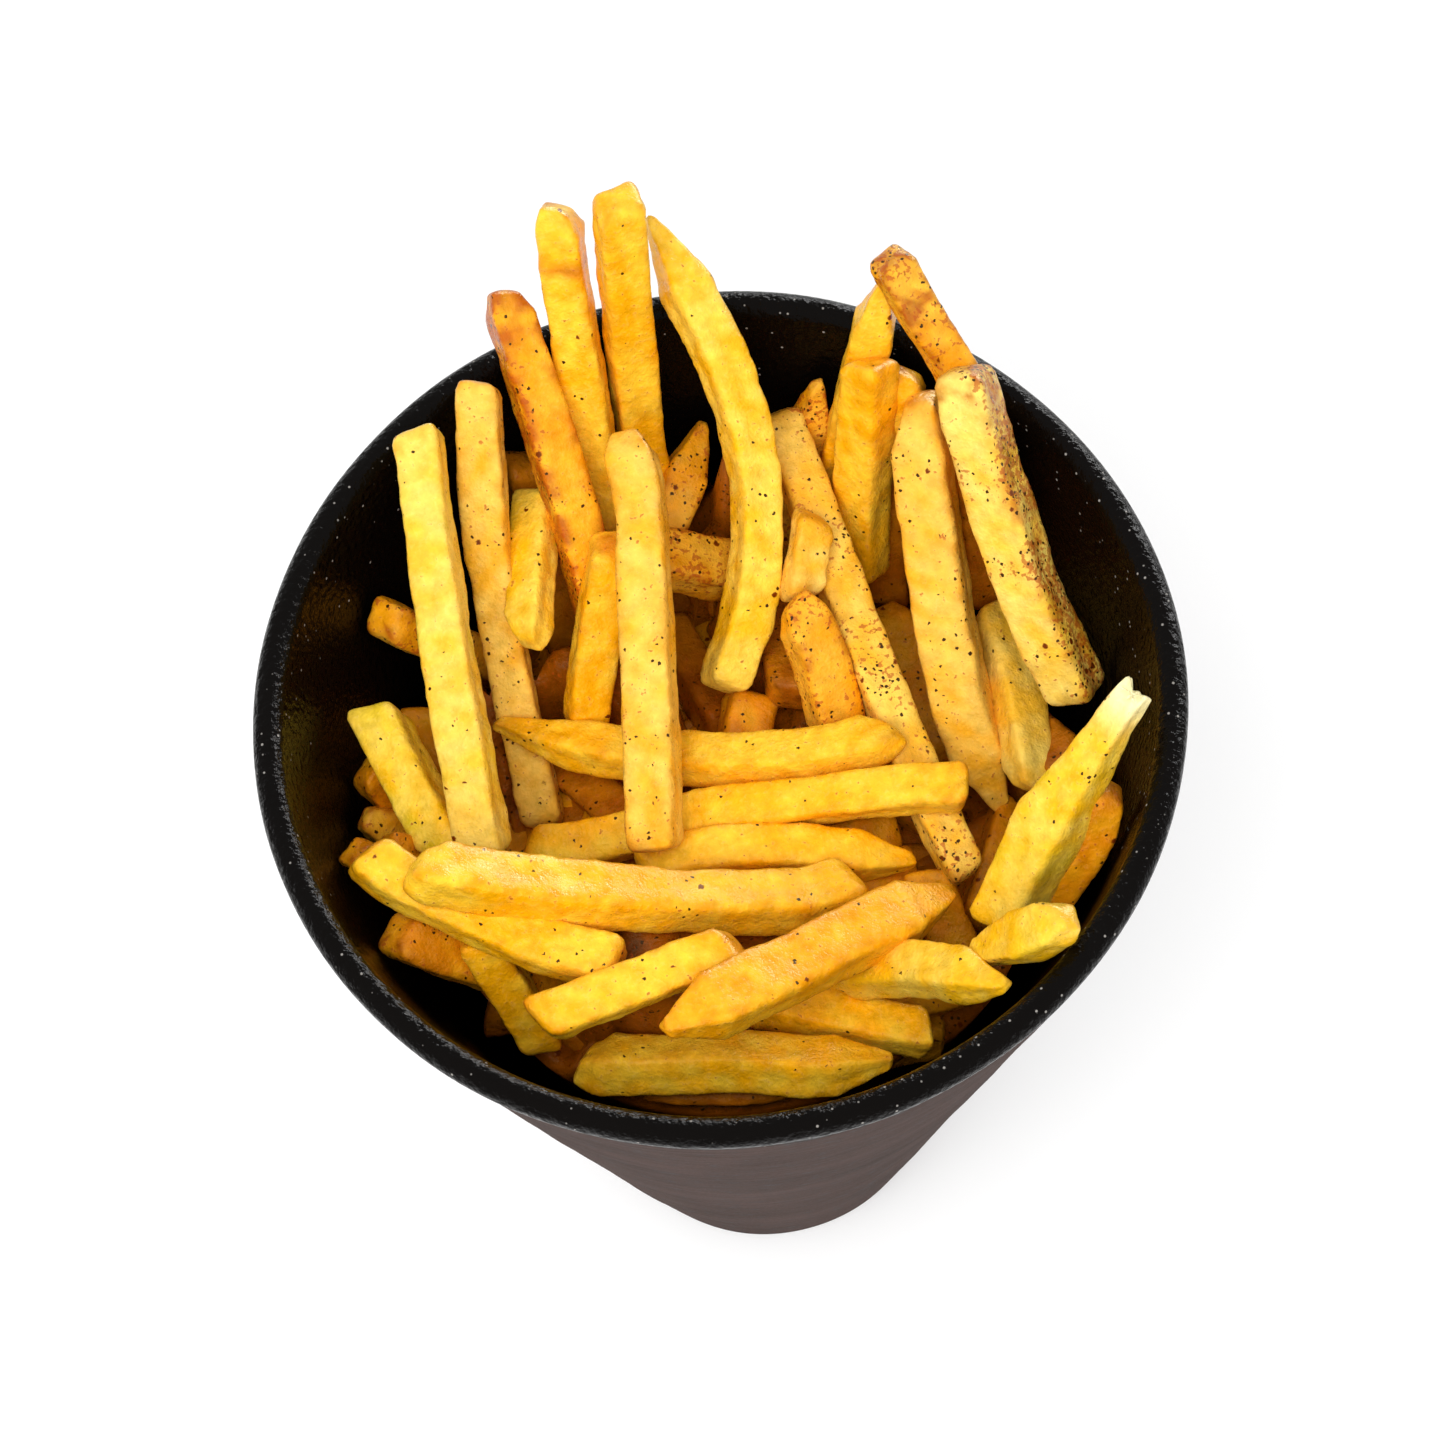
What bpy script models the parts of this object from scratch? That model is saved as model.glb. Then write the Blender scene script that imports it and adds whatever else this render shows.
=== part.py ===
"""French fries heaped in a tall conical stoneware cup.

The cup is one turned solid. The fries are one heap: a core that fills the cup up to a low mound, with every
fry that shows fused onto it. Metres, +Z up, the origin under the middle of the foot.
"""

import math
from collections import namedtuple

import bmesh
import bpy
import numpy as np

# Cup
HEIGHT = 0.1542
MOUTH_R = 0.0650            # widest radius, at the bead round the mouth
BEAD_R = 0.0022
MOUTH_Z = HEIGHT - BEAD_R   # height of the widest ring
BEAD_STEP = 0.0008          # how far the bead stands out of the wall below it
BEAD_UNDER = 0.0026         # from the widest ring down to where the bead meets the wall
WALL = 0.0040
FOOT_R = 0.0267
FOOT_ROUND = 0.0030
FLOOR_Z = 0.0060            # inner floor
FLOOR_ROUND = 0.0070
CUP_STEPS = 60
MERGE = 0.00002             # points closer than this are one

# Core of the heap
CORE_GAP = 0.0016           # from its rim to the cup's inside
CORE_FOOT_GAP = 0.0020      # the same at its foot
EDGE_DEPTH = 0.046          # of the core's rim below the mouth
MOUND_RISE = 0.017          # of its middle above that
MOUND_AT = (0.002, -0.020)
MOUND_SPREAD = (0.026, 0.030)
UNDER_FRY = 0.0065          # how far the core reaches out under the lowest fries
BITE = 0.0010               # how far below a fry's middle line it stops
CORE_STEPS = 36
CORE_RINGS = 9

# Line of sight along which the fries were measured on the photograph
PIXEL = 0.130 / 936         # the mouth is 936 pixels wide
PICTURE_MIDDLE = (720, 720)
MOUTH_MIDDLE = (718, 706)
ELEVATION = math.radians(65.9)
ROLL = math.radians(-7.2)
EYE_DISTANCE = 0.780

# Laying the fries
TOUCH = 0.84                # share of the two half widths that crossing fries keep, so that they fuse
WALL_GAP = 0.0005
SINK = 0.0015               # how deep a fry sits in the core
CORNER = 1.10               # reach of a rounded corner over a flat side
STEEPEST = 1.15             # rise towards the eye per length along the picture
LEVEL = 0.04                # how much a fry is kept from tipping to get lower
SLOPES = 93                 # tried for each fry
SAMPLES = 33                # points along a fry where it may touch another
CURVE_STEPS = 12            # for each measured point, where a line is smoothed
NEAREST, FARTHEST, DEPTH_STEP = 0.070, -0.130, -0.0005  # range of places tried along a line of sight
OCTAGON_R = 0.5 / math.cos(math.radians(22.5))          # corner radius of an octagon one metre across

BLUNT, SLOPED, POINTED = (0.78, 0.0016), (0.55, 0.0035), (0.25, 0.0080)  # end size, length of its taper

Fry = namedtuple("Fry", "name side roll start end line")

# Deepest first. Side in mm; roll in degrees about the fry's length; start and end are as BLUNT; the line is in
# pixels of the photograph.
FRIES = (
    Fry("brown_back", 5.5, 20, POINTED, BLUNT, ((818, 382), (800, 470), (790, 560))),
    Fry("deep_back", 7.0, 0, BLUNT, BLUNT, ((880, 470), (888, 600))),
    Fry("deep_right", 6.8, 10, BLUNT, BLUNT, ((972, 450), (985, 600))),
    Fry("deep_left_gap", 7.0, 5, BLUNT, BLUNT, ((560, 760), (640, 830))),
    Fry("deep_middle_gap", 7.0, 30, BLUNT, BLUNT, ((660, 620), (730, 735))),
    Fry("deep_by_torn", 7.4, 0, BLUNT, BLUNT, ((990, 690), (1075, 770))),
    Fry("deep_low_right", 7.0, 10, BLUNT, BLUNT, ((1015, 810), (980, 925))),
    Fry("deep_front", 6.0, 0, BLUNT, BLUNT, ((640, 1082), (720, 1085), (800, 1078))),
    Fry("under_lemon", 6.0, 15, BLUNT, POINTED, ((870, 996), (972, 1000))),
    Fry("deep_middle", 7.0, 5, BLUNT, BLUNT, ((830, 905), (912, 868))),
    Fry("brown_left", 6.4, 10, BLUNT, BLUNT, ((524, 458), (545, 560), (570, 655))),
    Fry("gold_stub", 6.4, 0, SLOPED, BLUNT, ((908, 372), (893, 455))),
    Fry("left_brown", 6.4, 0, BLUNT, BLUNT, ((418, 708), (452, 800))),
    Fry("left_low_gold", 7.0, 10, BLUNT, BLUNT, ((368, 765), (430, 830))),
    Fry("left_dark", 5.6, 0, SLOPED, BLUNT, ((362, 818), (450, 850))),
    Fry("left_brown_tip", 5.0, 0, BLUNT, BLUNT, ((352, 852), (430, 885))),
    Fry("left_thin", 5.0, 20, BLUNT, BLUNT, ((385, 845), (470, 875))),
    Fry("left_low_shadow", 7.0, 10, BLUNT, BLUNT, ((395, 932), (450, 955), (570, 990))),
    Fry("left_stub", 6.6, 0, BLUNT, BLUNT, ((382, 618), (425, 636), (520, 670))),
    Fry("amber_deep", 7.0, 0, SLOPED, BLUNT, ((882, 608), (915, 670), (950, 760))),
    Fry("torn_neighbour", 5.2, 10, BLUNT, BLUNT, ((1110, 786), (1092, 845), (1050, 905))),
    Fry("low_left_upright", 6.4, 10, BLUNT, BLUNT, ((476, 938), (508, 985), (542, 1042))),
    Fry("front_block", 6.8, 12, BLUNT, BLUNT, ((750, 1000), (830, 1015), (930, 1034))),
    Fry("amber_block", 7.0, 0, BLUNT, BLUNT, ((925, 870), (962, 965))),
    Fry("under_arch", 7.6, 10, BLUNT, BLUNT, ((752, 692), (735, 790))),
    Fry("arch_shadow", 7.0, 0, BLUNT, BLUNT, ((775, 590), (790, 700))),
    Fry("middle_stub", 6.0, 0, BLUNT, BLUNT, ((790, 848), (896, 832))),
    Fry("back_right_of_two", 7.0, 8, BLUNT, BLUNT, ((618, 198), (626, 300), (640, 430), (655, 540))),
    Fry("back_left_of_two", 6.8, 10, SLOPED, BLUNT, ((556, 206), (572, 320), (590, 430), (603, 545))),
    Fry("back_pointed", 6.2, 5, POINTED, BLUNT, ((884, 284), (868, 350), (847, 430), (830, 510))),
    Fry("leaf", 6.8, 10, POINTED, BLUNT, ((704, 422), (680, 490), (655, 550))),
    Fry("amber_stub", 8.0, 25, BLUNT, BLUNT, ((620, 552), (735, 572))),
    Fry("left_second", 6.6, 0, BLUNT, BLUNT,
        ((479, 382), (481, 460), (487, 540), (500, 620), (518, 710), (545, 828))),
    Fry("short_pale", 6.3, 40, BLUNT, SLOPED, ((537, 490), (527, 645))),
    Fry("paprika", 7.0, 8, SLOPED, BLUNT, ((503, 290), (530, 375), (560, 470), (602, 615))),
    Fry("left_cluster", 7.6, 15, BLUNT, BLUNT, ((376, 712), (405, 770), (448, 850))),
    Fry("left_first", 7.2, 15, BLUNT, BLUNT, ((417, 430), (430, 530), (447, 650), (465, 750), (485, 858))),
    Fry("top_seasoned", 6.1, 10, BLUNT, BLUNT, ((888, 256), (915, 305), (950, 360), (978, 420), (998, 485))),
    Fry("back_gold", 7.4, 40, BLUNT, BLUNT, ((871, 360), (865, 440), (860, 575))),
    Fry("right_short", 6.8, 30, BLUNT, SLOPED, ((988, 608), (1010, 670), (1024, 730), (1032, 790))),
    Fry("right_tall", 8.8, 10, (0.50, 0.0080), POINTED,
        ((920, 395), (925, 480), (937, 570), (950, 650), (970, 730), (1003, 805))),
    Fry("right_seasoned", 8.0, 30, BLUNT, BLUNT, ((962, 368), (985, 455), (1012, 540), (1042, 620), (1080, 697))),
    Fry("torn", 8.8, 40, (0.52, 0.0220), BLUNT, ((1133, 694), (1090, 760), (1042, 840), (1003, 925))),
    Fry("middle_long", 6.8, 12, BLUNT, BLUNT,
        ((775, 412), (802, 480), (832, 560), (860, 635), (888, 705), (925, 790), (968, 878))),
    Fry("moist_piece", 6.0, 20, BLUNT, BLUNT, ((815, 515), (800, 600))),
    Fry("middle_seasoned", 7.6, 20, SLOPED, BLUNT, ((792, 600), (818, 655), (838, 730), (850, 800))),
    Fry("arch", 7.0, 25, (0.18, 0.0110), BLUNT,
        ((648, 216), (667, 252), (692, 298), (727, 372), (752, 460), (757, 540), (747, 615), (722, 690))),
    Fry("amber_slant", 6.6, 15, BLUNT, BLUNT, ((614, 540), (598, 630), (585, 728))),
    Fry("right_low_short", 7.2, 15, (0.45, 0.0110), SLOPED, ((975, 952), (1020, 938), (1069, 917))),
    Fry("second_across", 6.8, 15, BLUNT, BLUNT,
        ((523, 852), (600, 842), (700, 815), (800, 802), (900, 790), (968, 788))),
    Fry("first_across", 6.8, 40, (0.30, 0.0130), SLOPED,
        ((495, 722), (560, 742), (640, 755), (720, 760), (800, 756), (860, 744), (897, 730))),
    Fry("third_across", 6.8, 15, BLUNT, POINTED, ((640, 868), (720, 852), (800, 850), (870, 858), (916, 861))),
    Fry("middle_pale", 7.6, 15, SLOPED, BLUNT, ((625, 434), (640, 500), (645, 600), (650, 700), (655, 852))),
    Fry("left_curved", 7.2, 20, BLUNT, BLUNT, ((363, 852), (400, 880), (460, 912), (530, 942), (620, 965))),
    Fry("long_front", 7.8, 42, SLOPED, BLUNT,
        ((410, 868), (500, 884), (600, 896), (700, 902), (800, 900), (862, 882))),
    Fry("lemon", 7.2, 30, BLUNT, POINTED, ((850, 972), (930, 970), (1006, 986))),
    Fry("slant_left", 7.2, 12, BLUNT, BLUNT, ((536, 1022), (620, 990), (700, 960), (742, 948))),
    Fry("slant_long", 8.8, 15, POINTED, POINTED, ((665, 1030), (740, 992), (810, 960), (880, 925), (952, 893))),
    Fry("front", 7.8, 20, SLOPED, POINTED, ((580, 1063), (660, 1065), (740, 1062), (820, 1066), (893, 1060))),
)


def clear_scene():
    for thing in list(bpy.data.objects):
        bpy.data.objects.remove(thing, do_unlink=True)


def collection(name, hidden=False):
    made = bpy.data.collections.new(name)
    made.hide_render = hidden
    bpy.context.scene.collection.children.link(made)
    return made


def finish(name, rgb, roughness, metallic=0.0):
    made = bpy.data.materials.new(name)
    made.use_nodes = True
    shader = made.node_tree.nodes["Principled BSDF"]
    shader.inputs["Base Color"].default_value = (*rgb, 1.0)
    shader.inputs["Roughness"].default_value = roughness
    shader.inputs["Metallic"].default_value = metallic
    made.diffuse_color = (*rgb, 1.0)
    return made


def arc(middle, radius, start, stop, points):
    """Points of an arc in the profile plane, from one angle to another in degrees."""
    turn = np.radians(np.linspace(start, stop, points))
    return [(middle[0] + radius * math.cos(a), middle[1] + radius * math.sin(a)) for a in turn]


def turned(name, profile, steps, home):
    """A solid of revolution: the profile in X and Z, turned once about Z."""
    mesh = bpy.data.meshes.new(name)
    mesh.from_pydata([(x, 0.0, z) for x, z in profile], [(i, i + 1) for i in range(len(profile) - 1)], [])
    thing = bpy.data.objects.new(name, mesh)
    home.objects.link(thing)
    screw = thing.modifiers.new("turn", "SCREW")
    screw.axis = "Z"
    screw.steps = screw.render_steps = steps
    screw.use_merge_vertices = True
    screw.merge_threshold = MERGE
    return thing


def outer_radius(z):
    """Radius of the wall's outside at a height: a straight cone from the foot to under the bead."""
    bead_z = MOUTH_Z - BEAD_UNDER
    return FOOT_R + (MOUTH_R - BEAD_STEP - FOOT_R) * (z - FOOT_ROUND) / (bead_z - FOOT_ROUND)


def inner_radius(z):
    return outer_radius(z) - WALL


def cup_profile():
    """From the top of the bead down the outside, across the foot, and back up the inside."""
    bead = (MOUTH_R - BEAD_R, MOUTH_Z)
    outside = arc(bead, BEAD_R, 90, -45, 7)
    foot = arc((FOOT_R - FOOT_ROUND, FOOT_ROUND), FOOT_ROUND, -10, -90, 5)
    floor_r = inner_radius(FLOOR_Z + FLOOR_ROUND)
    floor = arc((floor_r - FLOOR_ROUND, FLOOR_Z + FLOOR_ROUND), FLOOR_ROUND, -90, -10, 5)
    inside = arc(bead, BEAD_R, 175, 90, 5)
    under_bead = (outer_radius(MOUTH_Z - BEAD_UNDER), MOUTH_Z - BEAD_UNDER)
    return [*outside, under_bead, *foot, (0.0, 0.0), (0.0, FLOOR_Z), *floor, *inside]


def make_cup(home):
    cup = turned("cup", cup_profile(), CUP_STEPS, home)
    cup.data.materials.append(finish("stoneware", (0.030, 0.026, 0.026), 0.55))
    return cup


def mound_z(x, y):
    """Height of the core's top: a low bell that leans to the front of the cup."""
    across = (x - MOUND_AT[0]) / MOUND_SPREAD[0]
    along = (y - MOUND_AT[1]) / MOUND_SPREAD[1]
    return MOUTH_Z - EDGE_DEPTH + MOUND_RISE * np.exp(-(across**2 + along**2) / 2)


def core_top(x, y, lines):
    """The mound's height, raised to carry the lowest fry over each place."""
    lowest = np.full(x.shape, np.inf)
    for line in lines:
        apart = np.hypot(x[:, None] - line[:, 0], y[:, None] - line[:, 1])
        nearest = apart.argmin(1)
        over = apart.min(1) < UNDER_FRY
        lowest[over] = np.minimum(lowest, line[nearest, 2] - BITE)[over]
    mound = mound_z(x, y)
    return np.where(np.isinf(lowest), mound, np.maximum(mound, lowest))


def make_core(lines, home):
    """A turned plug that follows the cup's inside, with its top raised to carry the fries."""
    top_z = MOUTH_Z - EDGE_DEPTH
    bottom_z = FLOOR_Z + FLOOR_ROUND
    top_r = inner_radius(top_z) - CORE_GAP
    bottom_r = inner_radius(bottom_z) - CORE_FOOT_GAP
    rings = [(top_r * i / CORE_RINGS, top_z) for i in range(CORE_RINGS + 1)]
    plug = turned("core", [*rings, (bottom_r, bottom_z), (0.0, bottom_z)], CORE_STEPS, home)
    mesh = as_mesh(plug, home)
    at = np.array([v.co for v in mesh.data.vertices])
    on_top = at[:, 2] > top_z - MERGE
    at[on_top, 2] = core_top(at[on_top, 0], at[on_top, 1], lines)
    mesh.data.vertices.foreach_set("co", at.ravel())
    mesh.data.update()
    return mesh


def as_mesh(thing, home):
    """The evaluated object as a plain welded mesh of the same name, in place of the object."""
    graph = bpy.context.evaluated_depsgraph_get()
    mesh = bpy.data.meshes.new_from_object(thing.evaluated_get(graph))
    net = bmesh.new()
    net.from_mesh(mesh)
    bmesh.ops.remove_doubles(net, verts=net.verts, dist=MERGE)
    bmesh.ops.recalc_face_normals(net, faces=net.faces)
    net.to_mesh(mesh)
    net.free()
    name = thing.name
    made = bpy.data.objects.new(name, mesh)
    made.matrix_world = thing.matrix_world
    bpy.data.objects.remove(thing, do_unlink=True)
    made.name = name
    home.objects.link(made)
    return made


def sight():
    """The eye, and the picture plane through the mouth: its middle and its right and up directions."""
    right = np.array((1.0, 0.0, 0.0))
    up = np.array((0.0, math.sin(ELEVATION), math.cos(ELEVATION)))
    near = np.array((0.0, -math.cos(ELEVATION), math.sin(ELEVATION)))
    right, up = (
        math.cos(ROLL) * right + math.sin(ROLL) * up,
        math.cos(ROLL) * up - math.sin(ROLL) * right,
    )
    across = (MOUTH_MIDDLE[0] - PICTURE_MIDDLE[0]) * PIXEL
    above = (PICTURE_MIDDLE[1] - MOUTH_MIDDLE[1]) * PIXEL
    middle = np.array((0.0, 0.0, MOUTH_Z)) - across * right - above * up
    return middle + EYE_DISTANCE * near, middle, right, up


def smooth_line(points, count):
    """Evenly spaced points of a Catmull-Rom curve through the given ones."""
    known = np.array(points, float)
    known = np.vstack((2 * known[0] - known[1], known, 2 * known[-1] - known[-2]))
    fine = np.linspace(0, len(points) - 1, CURVE_STEPS * len(points))
    span = np.minimum(fine.astype(int), len(points) - 2)
    t = (fine - span)[:, None]
    a, b, c, d = (known[span + i] for i in range(4))
    curve = 0.5 * (2 * b + (c - a) * t + (2 * a - 5 * b + 4 * c - d) * t**2 + (3 * b - a - 3 * c + d) * t**3)
    run = np.concatenate(([0], np.cumsum(np.linalg.norm(np.diff(curve, axis=0), axis=1))))
    even = np.linspace(0, run[-1], count)
    return np.stack([np.interp(even, run, curve[:, k]) for k in range(2)], axis=1)


def in_space(on_plane, nearness):
    """Points on the lines of sight through the picture plane, that far in front of it."""
    eye, middle, right, up = sight()
    on_plane = np.asarray(on_plane)
    at = middle + on_plane[..., :1] * right + on_plane[..., 1:] * up
    return at + (eye - at) * (np.asarray(nearness)[..., None] / EYE_DISTANCE)


def cup_distance(at):
    """Distance to the cup's material, taken as the straight wall between foot and lip."""
    r = np.hypot(at[..., 0], at[..., 1])
    low = np.array((outer_radius(FLOOR_Z) - WALL / 2, FLOOR_Z))
    high = np.array((MOUTH_R - BEAD_R, MOUTH_Z))
    wall = high - low
    share = np.clip(((r - low[0]) * wall[0] + (at[..., 2] - low[1]) * wall[1]) / (wall @ wall), 0, 1)
    return np.hypot(r - low[0] - share * wall[0], at[..., 2] - low[1] - share * wall[1]) - BEAD_R


def widths(fry, along, length):
    """Width at each distance along a fry, smaller towards both ends."""
    (first, from_first), (last, from_last) = fry.start, fry.end
    return fry.side / 1000 * np.interp(along, (0, from_first, length - from_last, length), (first, 1, 1, last))


def first_contact(on_plane, half):
    """How near the eye each point has to stay to keep off the cup and lie on the core.

    A point that has a free place inside the cup starts from there, past the lip; any other lies on the lip.
    """
    depths = np.arange(NEAREST, FARTHEST, DEPTH_STEP)
    at = in_space(on_plane[:, None, :].repeat(len(depths), 1), depths[None, :].repeat(len(on_plane), 0))
    on_cup = cup_distance(at) < half[:, None] * CORNER + WALL_GAP
    on_core = at[..., 2] < mound_z(at[..., 0], at[..., 1]) + half[:, None] - SINK
    hit = on_cup | on_core
    inside = ~hit & (at[..., 2] < MOUTH_Z) & (np.hypot(at[..., 0], at[..., 1]) < inner_radius(at[..., 2]))
    start = inside.argmax(1)
    hit &= np.arange(len(depths)) >= start[:, None]
    return np.where(hit.any(1), depths[hit.argmax(1)], depths[-1])


def rest(run, floor, length):
    """The straight line that clears the floor everywhere and has the lowest middle."""
    slopes = np.linspace(-STEEPEST, STEEPEST, SLOPES) * length
    bases = (floor[None, :] - slopes[:, None] * run[None, :]).max(1)
    best = (bases + slopes / 2 + LEVEL * np.abs(slopes)).argmin()
    return bases[best] + slopes[best] * run


def lay(fries):
    """Lays each fry on those behind it, along the line of sight. Gives each one's middle line in space."""
    run = np.linspace(0, 1, SAMPLES)
    placed = []
    for fry in fries:
        pixels = smooth_line(fry.line, SAMPLES)
        on_plane = np.stack((pixels[:, 0] - PICTURE_MIDDLE[0], PICTURE_MIDDLE[1] - pixels[:, 1]), 1) * PIXEL
        length = np.linalg.norm(np.diff(on_plane, axis=0), axis=1).sum()
        half = widths(fry, run * length, length) / 2
        floor = first_contact(on_plane, half)
        for other_plane, other_near, other_half in placed:
            apart = np.linalg.norm(on_plane[:, None] - other_plane[None], axis=2)
            nearest = apart.argmin(1)
            reach = TOUCH * (half + other_half[nearest])
            over = np.sqrt(np.clip(reach**2 - apart.min(1) ** 2, 0, None))
            floor = np.where(over > 0, np.maximum(floor, other_near[nearest] + over), floor)
        near = rest(run, floor, length)
        placed.append((on_plane, near, half))
    return [in_space(on_plane, near) for on_plane, near, _ in placed]


def fry_section(home):
    """An octagon one metre across, which every fry scales to its width."""
    curve = bpy.data.curves.new("section", "CURVE")
    curve.dimensions = "2D"
    line = curve.splines.new("POLY")
    line.points.add(7)
    line.use_cyclic_u = True
    for i, point in enumerate(line.points):
        turn = math.radians(45 * i + 22.5)
        point.co = (OCTAGON_R * math.cos(turn), OCTAGON_R * math.sin(turn), 0.0, 1.0)
    section = bpy.data.objects.new("section", curve)
    section.hide_render = True
    home.objects.link(section)
    return section


def make_fry(fry, line, section, home):
    """The section swept along the fry's line, smaller at both ends."""
    run = np.concatenate(([0], np.cumsum(np.linalg.norm(np.diff(line, axis=0), axis=1))))
    length = run[-1]
    inner = np.linspace(fry.start[1], length - fry.end[1], max(2, len(fry.line) - 1))
    stations = np.concatenate(([0.0], inner, [length]))
    sizes = widths(fry, stations, length)
    curve = bpy.data.curves.new(fry.name, "CURVE")
    curve.dimensions = "3D"
    curve.bevel_mode = "OBJECT"
    curve.bevel_object = section
    curve.use_fill_caps = True
    spline = curve.splines.new("POLY")
    spline.points.add(len(stations) - 1)
    for point, station, size in zip(spline.points, stations, sizes):
        point.co = (*(float(np.interp(station, run, line[:, k])) for k in range(3)), 1.0)
        point.radius = size
        point.tilt = math.radians(fry.roll)
    thing = bpy.data.objects.new(fry.name, curve)
    home.objects.link(thing)
    return as_mesh(thing, home)


def keep_largest(thing):
    """Drops loose scraps and fills sealed hollows, by keeping only the largest connected surface."""
    net = bmesh.new()
    net.from_mesh(thing.data)
    bmesh.ops.triangulate(net, faces=net.faces)
    left, surfaces = set(net.faces), []
    while left:
        surface, border = set(), [left.pop()]
        while border:
            face = border.pop()
            surface.add(face)
            edges = [edge for edge in face.edges if edge.is_manifold]
            reached = {other for edge in edges for other in edge.link_faces} & left
            left -= reached
            border.extend(reached)
        surfaces.append(surface)
    largest = max(surfaces, key=len)
    bmesh.ops.delete(net, geom=[face for face in net.faces if face not in largest], context="FACES")
    net.to_mesh(thing.data)
    net.free()


def make_fries(home, pieces):
    """The core with every fry fused on, as one solid."""
    section = fry_section(pieces)
    lines = lay(FRIES)
    for fry, line in zip(FRIES, lines):
        make_fry(fry, line, section, pieces)
    bpy.data.objects.remove(section, do_unlink=True)
    heap = make_core(lines, home)
    heap.name = "fries"
    join = heap.modifiers.new("join", "BOOLEAN")
    join.operation = "UNION"
    join.operand_type = "COLLECTION"
    join.collection = pieces
    join.solver = "MANIFOLD"
    graph = bpy.context.evaluated_depsgraph_get()
    heap.data = bpy.data.meshes.new_from_object(heap.evaluated_get(graph))
    heap.modifiers.clear()
    for piece in list(pieces.objects):
        bpy.data.objects.remove(piece, do_unlink=True)
    keep_largest(heap)
    heap.data.materials.clear()
    heap.data.materials.append(finish("fried_potato", (0.78, 0.50, 0.10), 0.5))
    return heap


def main():
    clear_scene()
    home = collection("fries_in_cup")
    pieces = collection("fries_to_join", hidden=True)
    make_cup(home)
    make_fries(home, pieces)
    bpy.data.collections.remove(pieces)


main()
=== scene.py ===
# %% [markdown]
# # French fries in a conical stoneware cup
#
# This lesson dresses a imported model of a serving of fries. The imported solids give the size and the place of
# everything; here the cup gets its glaze, and the plain heap is replaced by real fries, one by one.
# All lengths are in metres, +Z is up, and the origin is under the middle of the cup's foot.

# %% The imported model
import math
from collections import namedtuple

import bpy
import numpy as np
from mathutils import Matrix


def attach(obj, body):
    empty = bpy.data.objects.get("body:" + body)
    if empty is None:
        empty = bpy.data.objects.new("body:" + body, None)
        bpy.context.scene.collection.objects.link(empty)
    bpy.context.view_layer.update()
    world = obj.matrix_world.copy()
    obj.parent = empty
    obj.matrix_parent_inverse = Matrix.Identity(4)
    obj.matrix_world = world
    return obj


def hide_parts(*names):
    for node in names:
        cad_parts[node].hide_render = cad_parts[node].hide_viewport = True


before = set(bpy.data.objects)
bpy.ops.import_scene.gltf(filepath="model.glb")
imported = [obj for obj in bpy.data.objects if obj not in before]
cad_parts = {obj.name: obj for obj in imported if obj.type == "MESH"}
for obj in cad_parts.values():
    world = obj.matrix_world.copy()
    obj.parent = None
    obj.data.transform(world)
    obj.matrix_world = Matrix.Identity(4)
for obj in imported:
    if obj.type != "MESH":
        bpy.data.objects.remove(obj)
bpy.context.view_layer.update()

# %% [markdown]
# ## Sizes
#
# A potato cut for fries is about 8 mm thick, which sets the scale of everything else. The cup is a plain
# cone with a round bead at its mouth, so a few numbers describe it.

# %% Sizes of the cup
HEIGHT = 0.1542
MOUTH_R = 0.0650            # widest radius, at the bead round the mouth
BEAD_R = 0.0022
MOUTH_Z = HEIGHT - BEAD_R   # height of the widest ring
BEAD_STEP = 0.0008          # how far the bead stands out of the wall below it
BEAD_UNDER = 0.0026         # from the widest ring down to where the bead meets the wall
WALL = 0.0040
FOOT_R = 0.0267
FOOT_ROUND = 0.0030
FLOOR_Z = 0.0060            # inner floor
FLOOR_ROUND = 0.0070
BEAD_Z = MOUTH_Z - BEAD_UNDER


def outer_radius(z):
    """Radius of the wall's outside: a straight line from the foot's rounding to the underside of the bead."""
    return FOOT_R + (MOUTH_R - BEAD_STEP - FOOT_R) * (z - FOOT_ROUND) / (BEAD_Z - FOOT_ROUND)


def inner_radius(z):
    """The same cone, one wall further in."""
    return outer_radius(z) - WALL


print("wall half angle, degrees:", round(math.degrees(math.atan(outer_radius(1) - outer_radius(0))), 1))

# %% [markdown]
# ## The eye
#
# The fries were measured on the photograph, so the camera comes first: where a fry lies is worked out along
# the lines of sight through it. The camera looks down steeply into the cup and is rolled a little. An Empty
# with a Track To constraint could aim it, but a matrix made of its right, up and near directions says
# exactly what the lines of sight below are made of too.

# %% The camera
PIXEL = 2 * MOUTH_R / 936   # metres; the mouth is 936 pixels wide
PICTURE = 1440              # pixels, in both directions
MOUTH_MIDDLE = (718, 706)
ELEVATION = math.radians(65.9)
ROLL = math.radians(-7.2)
EYE_DISTANCE = 0.780
SENSOR_MM = 36

level_right = np.array((1.0, 0.0, 0.0))
level_up = np.array((0.0, math.sin(ELEVATION), math.cos(ELEVATION)))
near = np.array((0.0, -math.cos(ELEVATION), math.sin(ELEVATION)))
right = math.cos(ROLL) * level_right + math.sin(ROLL) * level_up
up = math.cos(ROLL) * level_up - math.sin(ROLL) * level_right
across = (MOUTH_MIDDLE[0] - PICTURE / 2) * PIXEL
above = (PICTURE / 2 - MOUTH_MIDDLE[1]) * PIXEL
plane_middle = np.array((0.0, 0.0, MOUTH_Z)) - across * right - above * up
eye = plane_middle + EYE_DISTANCE * near

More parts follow.
